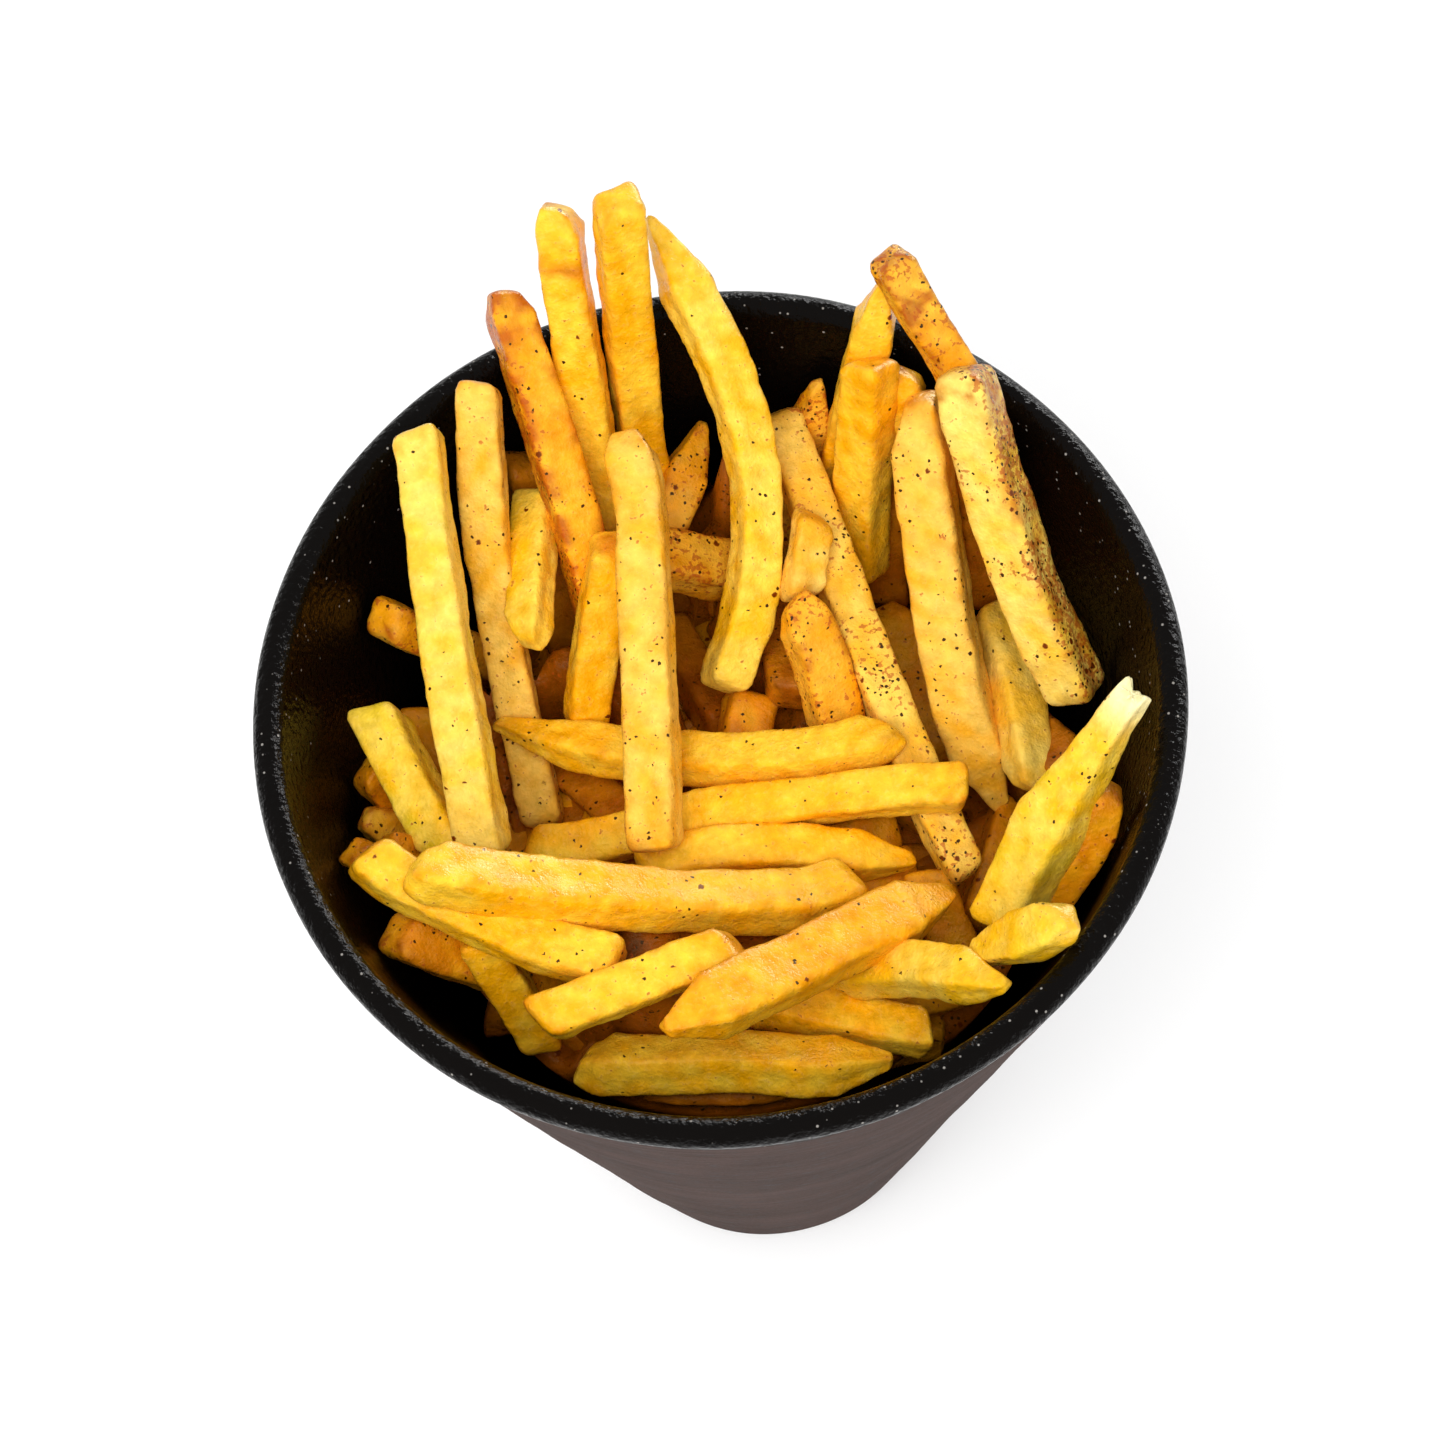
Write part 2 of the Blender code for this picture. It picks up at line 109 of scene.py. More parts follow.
camera = bpy.data.objects.new("camera", bpy.data.cameras.new("camera"))
bpy.context.scene.collection.objects.link(camera)
turned_to_eye = Matrix(np.stack((right, up, near), 1)).to_4x4()
camera.matrix_world = Matrix.Translation(eye) @ turned_to_eye
camera.data.sensor_width = SENSOR_MM
camera.data.lens = SENSOR_MM * EYE_DISTANCE / (PICTURE * PIXEL)
camera.data.clip_end = 20
bpy.context.scene.camera = camera
print("lens, mm:", round(camera.data.lens, 1))

# %% [markdown]
# ## Floor and light
#
# The photograph is a studio picture on a white ground. It is lit brightly from beside the camera, so few
# shadows show on the fries, and the glaze stays black. A Sun lamp would give hard shadows, so the lights are
# large areas: a key beside the camera and a weak fill, low in front. Both stay out of reflections, where they
# would lay a grey veil over the glaze and the yellow. The long edge light behind is there for reflections
# alone, and draws the glints on the lip. The World's even grey does the rest. The Standard view keeps the
# strong yellows that such a picture has, where AgX would fade them.

# %% The floor
FLOOR_HALF = 3.0
TABLE_GLOW = 0.27           # of the light table under the paper, which keeps the shadows faint


def linear(hex_colour):
    """sRGB hex to linear: up to 0.04045 over 12.92, otherwise ((c + 0.055) / 1.055) to the power 2.4."""
    parts = np.array([int(hex_colour[i : i + 2], 16) / 255 for i in (1, 3, 5)])
    return np.where(parts <= 0.04045, parts / 12.92, ((parts + 0.055) / 1.055) ** 2.4)


def node(tree, kind, settings=None, **links):
    """Adds a node. Links give its sockets, by name or by _number, a value or another node's output."""
    made = tree.nodes.new(kind)
    for name, value in (settings or {}).items():
        setattr(made, name, value)
    for name, value in links.items():
        key = int(name[1:]) if name[0] == "_" and name[1:].isdigit() else name.replace("_", " ")
        socket = made.inputs[key]
        if isinstance(value, bpy.types.NodeSocket):
            tree.links.new(value, socket)
        else:
            socket.default_value = value
    return made


def new_material(name):
    """A material with only its Principled shader, and that shader."""
    made = bpy.data.materials.new(name)
    made.use_nodes = True
    return made, made.node_tree.nodes["Principled BSDF"]


floor_mesh = bpy.data.meshes.new("floor")
corners = [(x * FLOOR_HALF, y * FLOOR_HALF, 0) for x, y in ((-1, -1), (1, -1), (1, 1), (-1, 1))]
floor_mesh.from_pydata(corners, [], [(0, 1, 2, 3)])
floor = bpy.data.objects.new("floor", floor_mesh)
bpy.context.scene.collection.objects.link(floor)
paper, shader = new_material("matt white paper on a light table")
shader.inputs["Base Color"].default_value = (*linear("#e0e0e0"), 1)
shader.inputs["Roughness"].default_value = 0.9
shader.inputs["Specular IOR Level"].default_value = 0.1
shader.inputs["Emission Color"].default_value = (1, 1, 1, 1)
shader.inputs["Emission Strength"].default_value = TABLE_GLOW
floor_mesh.materials.append(paper)
print("floor, m across:", 2 * FLOOR_HALF)

# %% The lights
WORLD_LEVEL = 0.66
LIT_POINT = (0, 0, 0.12)    # all lights face this point, in the cup


def soft_light(name, place, aim, size, power):
    """An oblong area light at a place, its face turned to the point it lights and its first side level."""
    lamp = bpy.data.lights.new(name, "AREA")
    lamp.shape = "RECTANGLE"
    lamp.size, lamp.size_y = size
    lamp.energy = power
    made = bpy.data.objects.new(name, lamp)
    away = np.array(place, float) - np.array(aim, float)
    away /= np.linalg.norm(away)
    side = np.cross((0.0, 0.0, 1.0), away)
    side /= np.linalg.norm(side)
    faces_aim = Matrix(np.stack((side, np.cross(away, side), away), 1)).to_4x4()
    made.matrix_world = Matrix.Translation(place) @ faces_aim
    bpy.context.scene.collection.objects.link(made)
    return made


world = bpy.data.worlds.new("studio")
bpy.context.scene.world = world
world.use_nodes = True
world.node_tree.nodes["Background"].inputs["Color"].default_value = (1, 1, 1, 1)
world.node_tree.nodes["Background"].inputs["Strength"].default_value = WORLD_LEVEL
key = soft_light("key", (-0.26, -0.54, 1.34), LIT_POINT, (1.10, 1.10), 18)
key.visible_glossy = False
edge = soft_light("edge", (0.65, 1.00, 0.46), LIT_POINT, (1.40, 0.40), 28.0)
edge.visible_diffuse = False
fill = soft_light("fill", (0.15, -1.15, 0.80), LIT_POINT, (1.20, 0.50), 3.0)
fill.visible_glossy = False
bpy.context.scene.view_settings.view_transform = "Standard"

# %% [markdown]
# ## The cup's shape
#
# The cup is thrown or cast, so it is a profile carried round an axis. A Screw modifier would do it; here the
# profile and the turn are two arrays multiplied together, which leaves room for the slight waver that a
# hand-finished wall has. Each point also keeps how much glaze covers it, for the material to read.

# %% Grids that close on themselves
def closed_grid(rings, around):
    """Faces of rings of points joined in a row, with a pole at each end. The poles come after the rings."""
    ring = np.arange(rings - 1)[:, None] * around
    here = np.arange(around)[None, :]
    nxt = (here + 1) % around
    sides = np.stack((ring + here, ring + around + here, ring + around + nxt, ring + nxt), -1)
    start = [(rings * around, a, (a + 1) % around) for a in range(around)]
    last = (rings - 1) * around
    end = [(rings * around + 1, last + (a + 1) % around, last + a) for a in range(around)]
    return sides.reshape(-1, 4).tolist() + start + end


def signed_volume(points, faces):
    """Sum of the tetrahedra from the origin to the faces' first triangles. Its sign says how they face."""
    first = np.array([face[:3] for face in faces])
    a, b, c = (points[first[:, k]] for k in range(3))
    return np.einsum("ij,ij->i", a, np.cross(b, c)).sum()


def make_piece(name, points, faces, numbers=None, colours=None):
    """A smooth mesh object, its faces turned outwards, with named numbers and colours on its points."""
    if signed_volume(points, faces) < 0:
        faces = [face[::-1] for face in faces]
    mesh = bpy.data.meshes.new(name)
    mesh.from_pydata(points.tolist(), [], faces)
    mesh.polygons.foreach_set("use_smooth", np.ones(len(mesh.polygons), bool))
    for label, values in (numbers or {}).items():
        kept = mesh.attributes.new(label, "FLOAT", "POINT")
        kept.data.foreach_set("value", np.asarray(values, np.float32))
    for label, values in (colours or {}).items():
        filled = np.concatenate((values, np.ones((len(values), 1))), 1).astype(np.float32)
        kept = mesh.attributes.new(label, "FLOAT_COLOR", "POINT")
        kept.data.foreach_set("color", filled.ravel())
    made = bpy.data.objects.new(name, mesh)
    bpy.context.scene.collection.objects.link(made)
    print(name + ":", sum(len(face) - 2 for face in faces), "triangles")
    return made


WAVE_SPREAD = (0.75, 1.35)  # of the waves that make up one field, as shares of its wavelength


def waves(points, wavelength, rng, count=10):
    """Sum of sine waves in random directions, all of about one wavelength: a smooth field near -1 to 1."""
    directions = rng.normal(size=(count, 3))
    directions /= np.linalg.norm(directions, axis=1)[:, None]
    lengths = wavelength * rng.uniform(*WAVE_SPREAD, count)
    phases = rng.uniform(0, 2 * np.pi, count)
    return np.sin(points @ (directions.T * (2 * np.pi / lengths)) + phases).sum(1) / math.sqrt(count)


# %% The cup's profile
CUP_AROUND = 240
WAVER = 0.00012             # how far the wall strays from a true circle
WAVER_LENGTH = 0.05         # from one swell of it to the next
RIPPLE = 0.4 * WAVER        # height of the finer ripples on it
RIPPLE_LENGTH = 0.02
RIPPLE_SQUEEZE = (1, 1, 4)  # they change four times as fast up the wall as round it
STILL_R = 0.02              # nearer to the axis than this, nothing wavers
LEDGE = 0.0006              # how far below the bead the wall starts


def arc(middle, radius, start, stop, count):
    """Points at even angles, in degrees, on a circle in the profile's plane."""
    turn = np.radians(np.linspace(start, stop, count))
    return np.stack((middle[0] + radius * np.cos(turn), middle[1] + radius * np.sin(turn)), 1)


def straight(start, stop, count):
    """Points between two others, without them."""
    share = np.linspace(0, 1, count + 2)[1:-1, None]
    return np.array(start) * (1 - share) + np.array(stop) * share


# Each arc goes from one angle to another, and each arc or line ends with its number of points.
floor_r = inner_radius(FLOOR_Z + FLOOR_ROUND)
inner_floor = arc((floor_r - FLOOR_ROUND, FLOOR_Z + FLOOR_ROUND), FLOOR_ROUND, -90, -12, 8)
bead_over = arc((MOUTH_R - BEAD_R, MOUTH_Z), BEAD_R, 172, -52, 26)
under_bead = (outer_radius(BEAD_Z - LEDGE), BEAD_Z - LEDGE)
foot_turn = arc((FOOT_R - FOOT_ROUND, FOOT_ROUND), FOOT_ROUND, -10, -90, 9)
inside = np.concatenate((
    straight((0, FLOOR_Z), inner_floor[0], 4), inner_floor,
    straight(inner_floor[-1], bead_over[0], 40),
))
profile = np.concatenate((
    inside, bead_over,
    [under_bead], straight(under_bead, foot_turn[0], 44), foot_turn,
    straight(foot_turn[-1], (0, 0), 4),
))
turn = np.linspace(0, 2 * np.pi, CUP_AROUND, endpoint=False)
points = np.stack((
    profile[:, :1] * np.cos(turn), profile[:, :1] * np.sin(turn), profile[:, 1:] * np.ones_like(turn),
), -1).reshape(-1, 3)
rng = np.random.default_rng(3)
waver = WAVER * waves(points, WAVER_LENGTH, rng)
waver = waver + RIPPLE * waves(points * RIPPLE_SQUEEZE, RIPPLE_LENGTH, rng)
from_axis = np.hypot(points[:, 0], points[:, 1])
points[:, :2] *= (1 + np.where(from_axis > STILL_R, waver, 0) / np.maximum(from_axis, STILL_R))[:, None]
points = np.concatenate((points, [(0, 0, FLOOR_Z), (0, 0, 0)]))

# %% Where the glaze lies
DROPS = (0.0, 0.0012, 0.0028, 0.0046, 0.0056)  # below the top of the cup, on the outside
COVER = (1.0, 1.0, 0.75, 0.50, 0.0)            # how much glaze is left at each of them

on_outside = np.arange(len(profile)) >= len(inside) + len(bead_over) // 2
drop = (HEIGHT - profile[:, 1]) * on_outside
glaze = np.interp(drop, DROPS, COVER)
glaze = np.concatenate((np.repeat(glaze, CUP_AROUND), (1.0, 0.0)))
cup = make_piece("glazed_cup", points, closed_grid(len(profile), CUP_AROUND), numbers={"glaze": glaze})

# %% [markdown]
# ## The cup's finish
#
# Stoneware is a clay with iron in it that fires dark grey and stays dry to the touch. The inside and the bead
# carry a black glaze: glossy, but pitted like orange peel, so that each light breaks into glints. Near the
# mouth, pale grey specks are painted on it as painted glints. Two materials could meet at a line, but the glaze
# thins out as it runs over the bead, so one material mixes the two by the amount that each point keeps.

# %% Black glaze over dark stoneware
GLAZE_BLACK = linear("#060403")
GLAZE_THIN = linear("#070504")
CLAY = linear("#52413c")
CLAY_DARK = linear("#3c2f2b")
PIT_MM = 1.0                # spacing of the glaze's pits
THROW_MM = 1.6              # spacing of the marks that run round the wall
THROW_STRETCH = 0.05        # how much slower they change round the wall than up it
GRIT_MM = 0.5               # coarser than real grit, which wouldn't show
CLOUD_MM = 18               # size of the fainter clouds that the kiln leaves
EDGE_MM = 2.5               # size of the lobes where the glaze ends
# Painted glints: pale grey specks near the mouth stand in for highlights on the black glaze.
PAINTED_GLINT_COLOUR = linear("#8e8a84")
PAINTED_GLINT_BAND = 0.016        # metres below the top of the cup where the painted glints end
PIT_DEPTH = 0.0004          # metres; deeper than the real pits, so that they break the light up at this size
DRY_SHARE = 0.40            # of that on the dry clay

# Spots: their spacing, their reach and soft edge as shares of it, and the most of the places that have one.
Speck = namedtuple("Speck", "spacing_mm reach softness share")
PAINTED_GLINTS = Speck(1.2, 0.10, 0.09, 0.32)


def noise(tree, at, millimetres, detail, output="Fac"):
    """A Noise texture has about one bump per unit of its scale, so the scale is 1000 over millimetres."""
    made = node(tree, "ShaderNodeTexNoise", Vector=at, Scale=1000 / millimetres, Detail=detail)
    return made.outputs[output]


def ramp(tree, value, seen, given=(0.0, 1.0), smooth=False):
    """Carries one range of a value over to another: evenly, or by 3 t squared minus 2 t cubed."""
    kind = "SMOOTHSTEP" if smooth else "LINEAR"
    made = node(tree, "ShaderNodeMapRange", {"interpolation_type": kind}, Value=value,
                From_Min=seen[0], From_Max=seen[1], To_Min=given[0], To_Max=given[1])
    return made.outputs["Result"]


def maths(tree, operation, *values):
    """One Math node on these values."""
    sockets = {f"_{index}": value for index, value in enumerate(values)}
    return node(tree, "ShaderNodeMath", {"operation": operation}, **sockets).outputs[0]


def mix(tree, share, one, other):
    """The first colour at a share of 0, the other at 1. Each is three linear numbers or an output."""
    one, other = ((*tone, 1) if isinstance(tone, np.ndarray) else tone for tone in (one, other))
    return node(tree, "ShaderNodeMix", {"data_type": "RGBA"}, Factor=share, _6=one, _7=other).outputs[2]


def speckle(tree, at, kind, limit):
    """How much of a spot is here. Voronoi cells whose random number is below the limit have one."""
    cells = node(tree, "ShaderNodeTexVoronoi", Vector=at, Scale=1000 / kind.spacing_mm)
    middle = ramp(tree, cells.outputs["Distance"], (kind.reach, kind.reach + kind.softness), (1.0, 0.0))
    number = node(tree, "ShaderNodeSeparateColor", Color=cells.outputs["Color"]).outputs["Red"]
    return maths(tree, "MULTIPLY", middle, maths(tree, "LESS_THAN", number, limit))


glazed, shader = new_material("black glaze on dark stoneware")
tree = glazed.node_tree
place = node(tree, "ShaderNodeTexCoord").outputs["Object"]
amount = node(tree, "ShaderNodeAttribute", {"attribute_name": "glaze"}).outputs["Fac"]
ragged = noise(tree, place, EDGE_MM, 3.0)
cover = ramp(tree, maths(tree, "MULTIPLY_ADD", ragged, 0.5, amount), (0.22, 0.52), smooth=True)
thick = ramp(tree, amount, (0.5, 0.95), smooth=True)
stretch = node(tree, "ShaderNodeMapping", Vector=place, Scale=(THROW_STRETCH, THROW_STRETCH, 1.0))
marks = noise(tree, stretch.outputs["Vector"], THROW_MM, 4.0)
mottle = maths(tree, "ADD", marks, noise(tree, place, CLOUD_MM, 4.0))
mottle = maths(tree, "ADD", mottle, noise(tree, place, GRIT_MM, 2.0))
clay = mix(tree, ramp(tree, mottle, (1.15, 1.85)), CLAY_DARK, CLAY)
black = mix(tree, thick, GLAZE_THIN, GLAZE_BLACK)
height = node(tree, "ShaderNodeSeparateXYZ", Vector=place).outputs["Z"]
# Painted glints, more of them towards the mouth, mixed into the glaze's colour.
painted_glint_share = ramp(tree, height, (HEIGHT - PAINTED_GLINT_BAND, MOUTH_Z), (0.0, PAINTED_GLINTS.share), smooth=True)
black = mix(tree, speckle(tree, place, PAINTED_GLINTS, painted_glint_share), black, PAINTED_GLINT_COLOUR)
colour = mix(tree, cover, clay, black)
rough = ramp(tree, thick, (0.0, 1.0), (0.4, 0.13))
rough = node(tree, "ShaderNodeMix", Factor=cover, _2=0.85, _3=rough).outputs[0]
pits = noise(tree, place, PIT_MM, 3.0)
dry_relief = maths(tree, "MULTIPLY", mottle, DRY_SHARE)
relief = node(tree, "ShaderNodeMix", Factor=cover, _2=dry_relief, _3=pits).outputs[0]
bump = node(tree, "ShaderNodeBump", Height=relief, Strength=1.0, Distance=PIT_DEPTH).outputs["Normal"]
tree.links.new(colour, shader.inputs["Base Color"])
tree.links.new(rough, shader.inputs["Roughness"])
tree.links.new(bump, shader.inputs["Normal"])
shader.inputs["IOR"].default_value = 1.5
shader.inputs["Specular IOR Level"].default_value = 0.09
cup.data.materials.append(glazed)
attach(cup, "root")
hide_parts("cup")
print("glaze covers", round(float((glaze > 0.5).mean()), 2), "of the cup's points")

# %% [markdown]
# ## Where each fry lies
#
# A heap could be dropped by physics, but then no fry would lie where the photograph shows it. Each fry is
# instead a line read from the photograph, deepest first. It is laid like a stick: pushed away from the eye,
# along the lines of sight through it, until it rests on the cup, the fries below or the core of the heap.

# %% The fries
BLUNT, SLOPED, POINTED = (0.78, 0.0016), (0.55, 0.0035), (0.25, 0.0080)  # end size, length of its taper

Fry = namedtuple("Fry", "name look side roll start end line")

# Side in mm; roll in degrees, 0 with a flat side to the eye; the line is in pixels of the photograph.
FRIES = (
    Fry("brown_back", "spiced", 5.5, 20, POINTED, BLUNT, ((818, 382), (800, 470), (790, 560))),
    Fry("deep_back", "deep", 7.0, 0, BLUNT, BLUNT, ((880, 470), (888, 600))),
    Fry("deep_right", "deep", 6.8, 10, BLUNT, BLUNT, ((972, 450), (985, 600))),
    Fry("deep_left_gap", "deep", 7.0, 5, BLUNT, BLUNT, ((560, 760), (640, 830))),
    Fry("deep_middle_gap", "deep", 7.0, 30, BLUNT, BLUNT, ((660, 620), (730, 735))),
    Fry("deep_by_torn", "deep", 7.4, 0, BLUNT, BLUNT, ((990, 690), (1075, 770))),
    Fry("deep_low_right", "amber", 7.0, 10, BLUNT, BLUNT, ((1015, 810), (980, 925))),
    Fry("deep_front", "deep", 6.0, 0, BLUNT, BLUNT, ((640, 1082), (720, 1085), (800, 1078))),
    Fry("under_lemon", "amber", 6.0, 15, BLUNT, POINTED, ((870, 996), (972, 1000))),
    Fry("deep_middle", "amber", 7.0, 5, BLUNT, BLUNT, ((830, 905), (912, 868))),
    Fry("brown_left", "deep", 6.4, 10, BLUNT, BLUNT, ((524, 458), (545, 560), (570, 655))),
    Fry("gold_stub", "gold", 6.4, 0, SLOPED, BLUNT, ((908, 372), (893, 455))),
    Fry("left_brown", "amber", 6.4, 0, BLUNT, BLUNT, ((418, 708), (452, 800))),
    Fry("left_low_gold", "amber", 7.0, 10, BLUNT, BLUNT, ((368, 765), (430, 830))),
    Fry("left_dark", "spiced", 5.6, 0, SLOPED, BLUNT, ((362, 818), (450, 850))),
    Fry("left_brown_tip", "amber", 5.0, 0, BLUNT, BLUNT, ((352, 852), (430, 885))),
    Fry("left_thin", "amber", 5.0, 20, BLUNT, BLUNT, ((385, 845), (470, 875))),
    Fry("left_low_shadow", "amber", 7.0, 10, BLUNT, BLUNT, ((395, 932), (450, 955), (570, 990))),
    Fry("left_stub", "spiced", 6.6, 0, BLUNT, BLUNT, ((382, 618), (425, 636), (520, 670))),
    Fry("amber_deep", "amber", 7.0, 0, SLOPED, BLUNT, ((882, 608), (915, 670), (950, 760))),
    Fry("torn_neighbour", "amber", 5.2, 10, BLUNT, BLUNT, ((1110, 786), (1092, 845), (1050, 905))),
    Fry("low_left_upright", "gold", 6.4, -10, BLUNT, BLUNT, ((476, 938), (508, 985), (542, 1042))),
    Fry("front_block", "gold", 6.8, 30, BLUNT, BLUNT, ((750, 1000), (830, 1015), (930, 1034))),
    Fry("amber_block", "amber", 7.0, 0, BLUNT, BLUNT, ((925, 870), (962, 965))),
    Fry("under_arch", "amber", 7.6, 10, BLUNT, BLUNT, ((752, 692), (735, 790))),
    Fry("arch_shadow", "deep", 7.0, 0, BLUNT, BLUNT, ((775, 590), (790, 700))),
    Fry("middle_stub", "amber", 6.0, 0, BLUNT, BLUNT, ((790, 848), (896, 832))),
    Fry("back_right_of_two", "gold", 7.0, 14, BLUNT, BLUNT, ((618, 198), (626, 300), (640, 430), (655, 540))),
    Fry("back_left_of_two", "gold", 6.8, -10, SLOPED, BLUNT,
        ((556, 206), (572, 320), (590, 430), (603, 545))),
    Fry("back_pointed", "gold", 6.2, 5, POINTED, BLUNT, ((884, 284), (868, 350), (847, 430), (830, 510))),
    Fry("leaf", "spiced", 6.8, 10, POINTED, BLUNT, ((704, 422), (680, 490), (655, 550))),
    Fry("amber_stub", "spiced", 8.0, 25, BLUNT, BLUNT, ((620, 552), (735, 572))),
    Fry("left_second", "tan", 6.6, -8, BLUNT, BLUNT,
        ((479, 382), (481, 460), (487, 540), (500, 620), (518, 710), (545, 828))),
    Fry("short_pale", "lemon", 6.3, -30, BLUNT, SLOPED, ((537, 490), (527, 645))),
    Fry("paprika", "paprika", 7.0, 14, SLOPED, BLUNT, ((503, 290), (530, 375), (560, 470), (602, 615))),
    Fry("left_cluster", "lemon", 7.6, -15, BLUNT, BLUNT, ((376, 712), (405, 770), (448, 850))),
    Fry("left_first", "pale", 7.2, -14, BLUNT, BLUNT,
        ((417, 430), (430, 530), (447, 650), (465, 750), (485, 858))),
    Fry("top_seasoned", "spiced", 6.1, 10, BLUNT, BLUNT,
        ((888, 256), (915, 305), (950, 360), (978, 420), (998, 485))),
    Fry("back_gold", "gold", 7.4, -36, BLUNT, BLUNT, ((871, 360), (865, 440), (860, 575))),
    Fry("right_short", "pale", 6.8, 30, BLUNT, SLOPED, ((988, 608), (1010, 670), (1024, 730), (1032, 790))),
    Fry("right_tall", "tan", 8.8, -14, (0.50, 0.0080), POINTED,
        ((920, 395), (925, 480), (937, 570), (950, 650), (970, 730), (1003, 805))),
    Fry("right_seasoned", "dusted", 8.0, -32, BLUNT, BLUNT,
        ((962, 368), (985, 455), (1012, 540), (1042, 620), (1080, 697))),
    Fry("torn", "lemon", 8.8, -32, (0.52, 0.0220), BLUNT,
        ((1133, 694), (1090, 760), (1042, 840), (1003, 925))),
    Fry("middle_long", "peppered", 6.8, 12, BLUNT, BLUNT,
        ((775, 412), (802, 480), (832, 560), (860, 635), (888, 705), (925, 790), (968, 878))),
    Fry("moist_piece", "moist", 6.0, 20, BLUNT, BLUNT, ((815, 515), (800, 600))),
    Fry("middle_seasoned", "spiced", 7.6, 20, SLOPED, BLUNT,
        ((792, 600), (818, 655), (838, 730), (850, 800))),
    Fry("arch", "lemon", 7.0, 22, (0.18, 0.0110), BLUNT,
        ((648, 216), (667, 252), (692, 298), (727, 372), (752, 460), (757, 540), (747, 615), (722, 690))),
    Fry("amber_slant", "gold", 6.6, 15, BLUNT, BLUNT, ((614, 540), (598, 630), (585, 728))),
    Fry("right_low_short", "lemon", 7.2, 25, (0.45, 0.0110), SLOPED, ((975, 952), (1020, 938), (1069, 917))),
    Fry("second_across", "gold", 6.8, 15, BLUNT, BLUNT,
        ((523, 852), (600, 842), (700, 815), (800, 802), (900, 790), (968, 788))),
    Fry("first_across", "gold", 6.8, 38, (0.30, 0.0130), SLOPED,
        ((495, 722), (560, 742), (640, 755), (720, 760), (800, 756), (860, 744), (897, 730))),
    Fry("third_across", "gold", 6.8, 25, BLUNT, POINTED,
        ((640, 868), (720, 852), (800, 850), (870, 858), (916, 861))),
    Fry("middle_pale", "tan", 7.6, -12, SLOPED, BLUNT,
        ((625, 434), (640, 500), (645, 600), (650, 700), (655, 852))),
    Fry("left_curved", "gold", 7.2, 20, BLUNT, BLUNT,
        ((363, 852), (400, 880), (460, 912), (530, 942), (620, 965))),
    Fry("long_front", "gold", 7.8, 36, SLOPED, BLUNT,
        ((410, 868), (500, 884), (600, 896), (700, 902), (800, 900), (862, 882))),
    Fry("lemon", "lemon", 7.2, 30, BLUNT, POINTED, ((850, 972), (930, 970), (1006, 986))),
    Fry("slant_left", "gold", 7.2, 12, BLUNT, BLUNT, ((536, 1022), (620, 990), (700, 960), (742, 948))),
    Fry("slant_long", "golden", 8.8, 22, POINTED, POINTED,
        ((665, 1030), (740, 992), (810, 960), (880, 925), (952, 893))),
    Fry("front", "gold", 7.8, 56, SLOPED, POINTED,
        ((580, 1063), (660, 1065), (740, 1062), (820, 1066), (893, 1060))),
)
print(len(FRIES), "fries that show, median side", np.median([fry.side for fry in FRIES]), "mm")

# %% [markdown]
# ## What the fries rest on
#
# The cup is full of fries that don't show, and how they lie isn't known. A mound, shaped by a bell curve,
# takes their place. Each line of sight is followed down from the eye in small steps until it meets the mound
# or the wall, and a fry comes to rest on what its lines of sight meet.

# %% Lines of sight
EDGE_DEPTH = 0.046          # of the core's rim below the mouth
MOUND_RISE = 0.017          # of its middle above that
MOUND_AT = (0.002, -0.020)
MOUND_SPREAD = (0.026, 0.030)
TOUCH = 0.84                # share of the two half widths that crossing fries keep between their middles
WALL_GAP = 0.0005
SINK = 0.0015               # how far a fry sinks into the core
CORNER = 1.10               # reach of a section's rounded corners, over half its side
STEEPEST = 1.15             # rise towards the eye per length along the picture
LEVEL = 0.04                # how much a level fry is preferred to a steep one
CURVE_STEPS = 12            # for each known point of a line, before it is spaced evenly
SAMPLES = 33                # points on the line of a fry
SLOPES = 93                 # tried for each fry
NEAREST, DEEPEST, DEPTH_STEP = 0.070, -0.130, 0.0005  # along the lines of sight, from the mouth


def mound_z(x, y):
    """A low bell curve above a level edge, its top a little to the front of the cup."""
    return MOUTH_Z - EDGE_DEPTH + MOUND_RISE * np.exp(
        -(((x - MOUND_AT[0]) / MOUND_SPREAD[0]) ** 2 + ((y - MOUND_AT[1]) / MOUND_SPREAD[1]) ** 2) / 2
    )


def smooth_line(points, count):
    """Evenly spaced points of a smooth curve through the given ones: cubics, each slope from the points
    beside it."""
    known = np.array(points, float)
    known = np.vstack((2 * known[0] - known[1], known, 2 * known[-1] - known[-2]))
    fine = np.linspace(0, len(points) - 1, CURVE_STEPS * len(points))
    span = np.minimum(fine.astype(int), len(points) - 2)
    t = (fine - span)[:, None]
    a, b, c, d = (known[span + i] for i in range(4))
    square_part = (2 * a - 5 * b + 4 * c - d) * t**2
    curve = 0.5 * (2 * b + (c - a) * t + square_part + (3 * b - a - 3 * c + d) * t**3)
    run = np.concatenate(([0], np.cumsum(np.linalg.norm(np.diff(curve, axis=0), axis=1))))
    even = np.linspace(0, run[-1], count)
    return np.stack([np.interp(even, run, curve[:, k]) for k in range(2)], axis=1)


def in_space(on_plane, nearness):
    """The point of the picture plane, moved towards the eye by a share of its way there."""
    on_plane = np.asarray(on_plane)
    at = plane_middle + on_plane[..., :1] * right + on_plane[..., 1:] * up
    return at + (eye - at) * (np.asarray(nearness)[..., None] / EYE_DISTANCE)


def cup_distance(at):
    """Distance in the profile's plane to the wall's middle line, less the bead's radius."""
    r = np.hypot(at[..., 0], at[..., 1])
    low = np.array((outer_radius(FLOOR_Z) - WALL / 2, FLOOR_Z))
    wall = np.array((MOUTH_R - BEAD_R, MOUTH_Z)) - low
    share = np.clip(((r - low[0]) * wall[0] + (at[..., 2] - low[1]) * wall[1]) / (wall @ wall), 0, 1)
    return np.hypot(r - low[0] - share * wall[0], at[..., 2] - low[1] - share * wall[1]) - BEAD_R


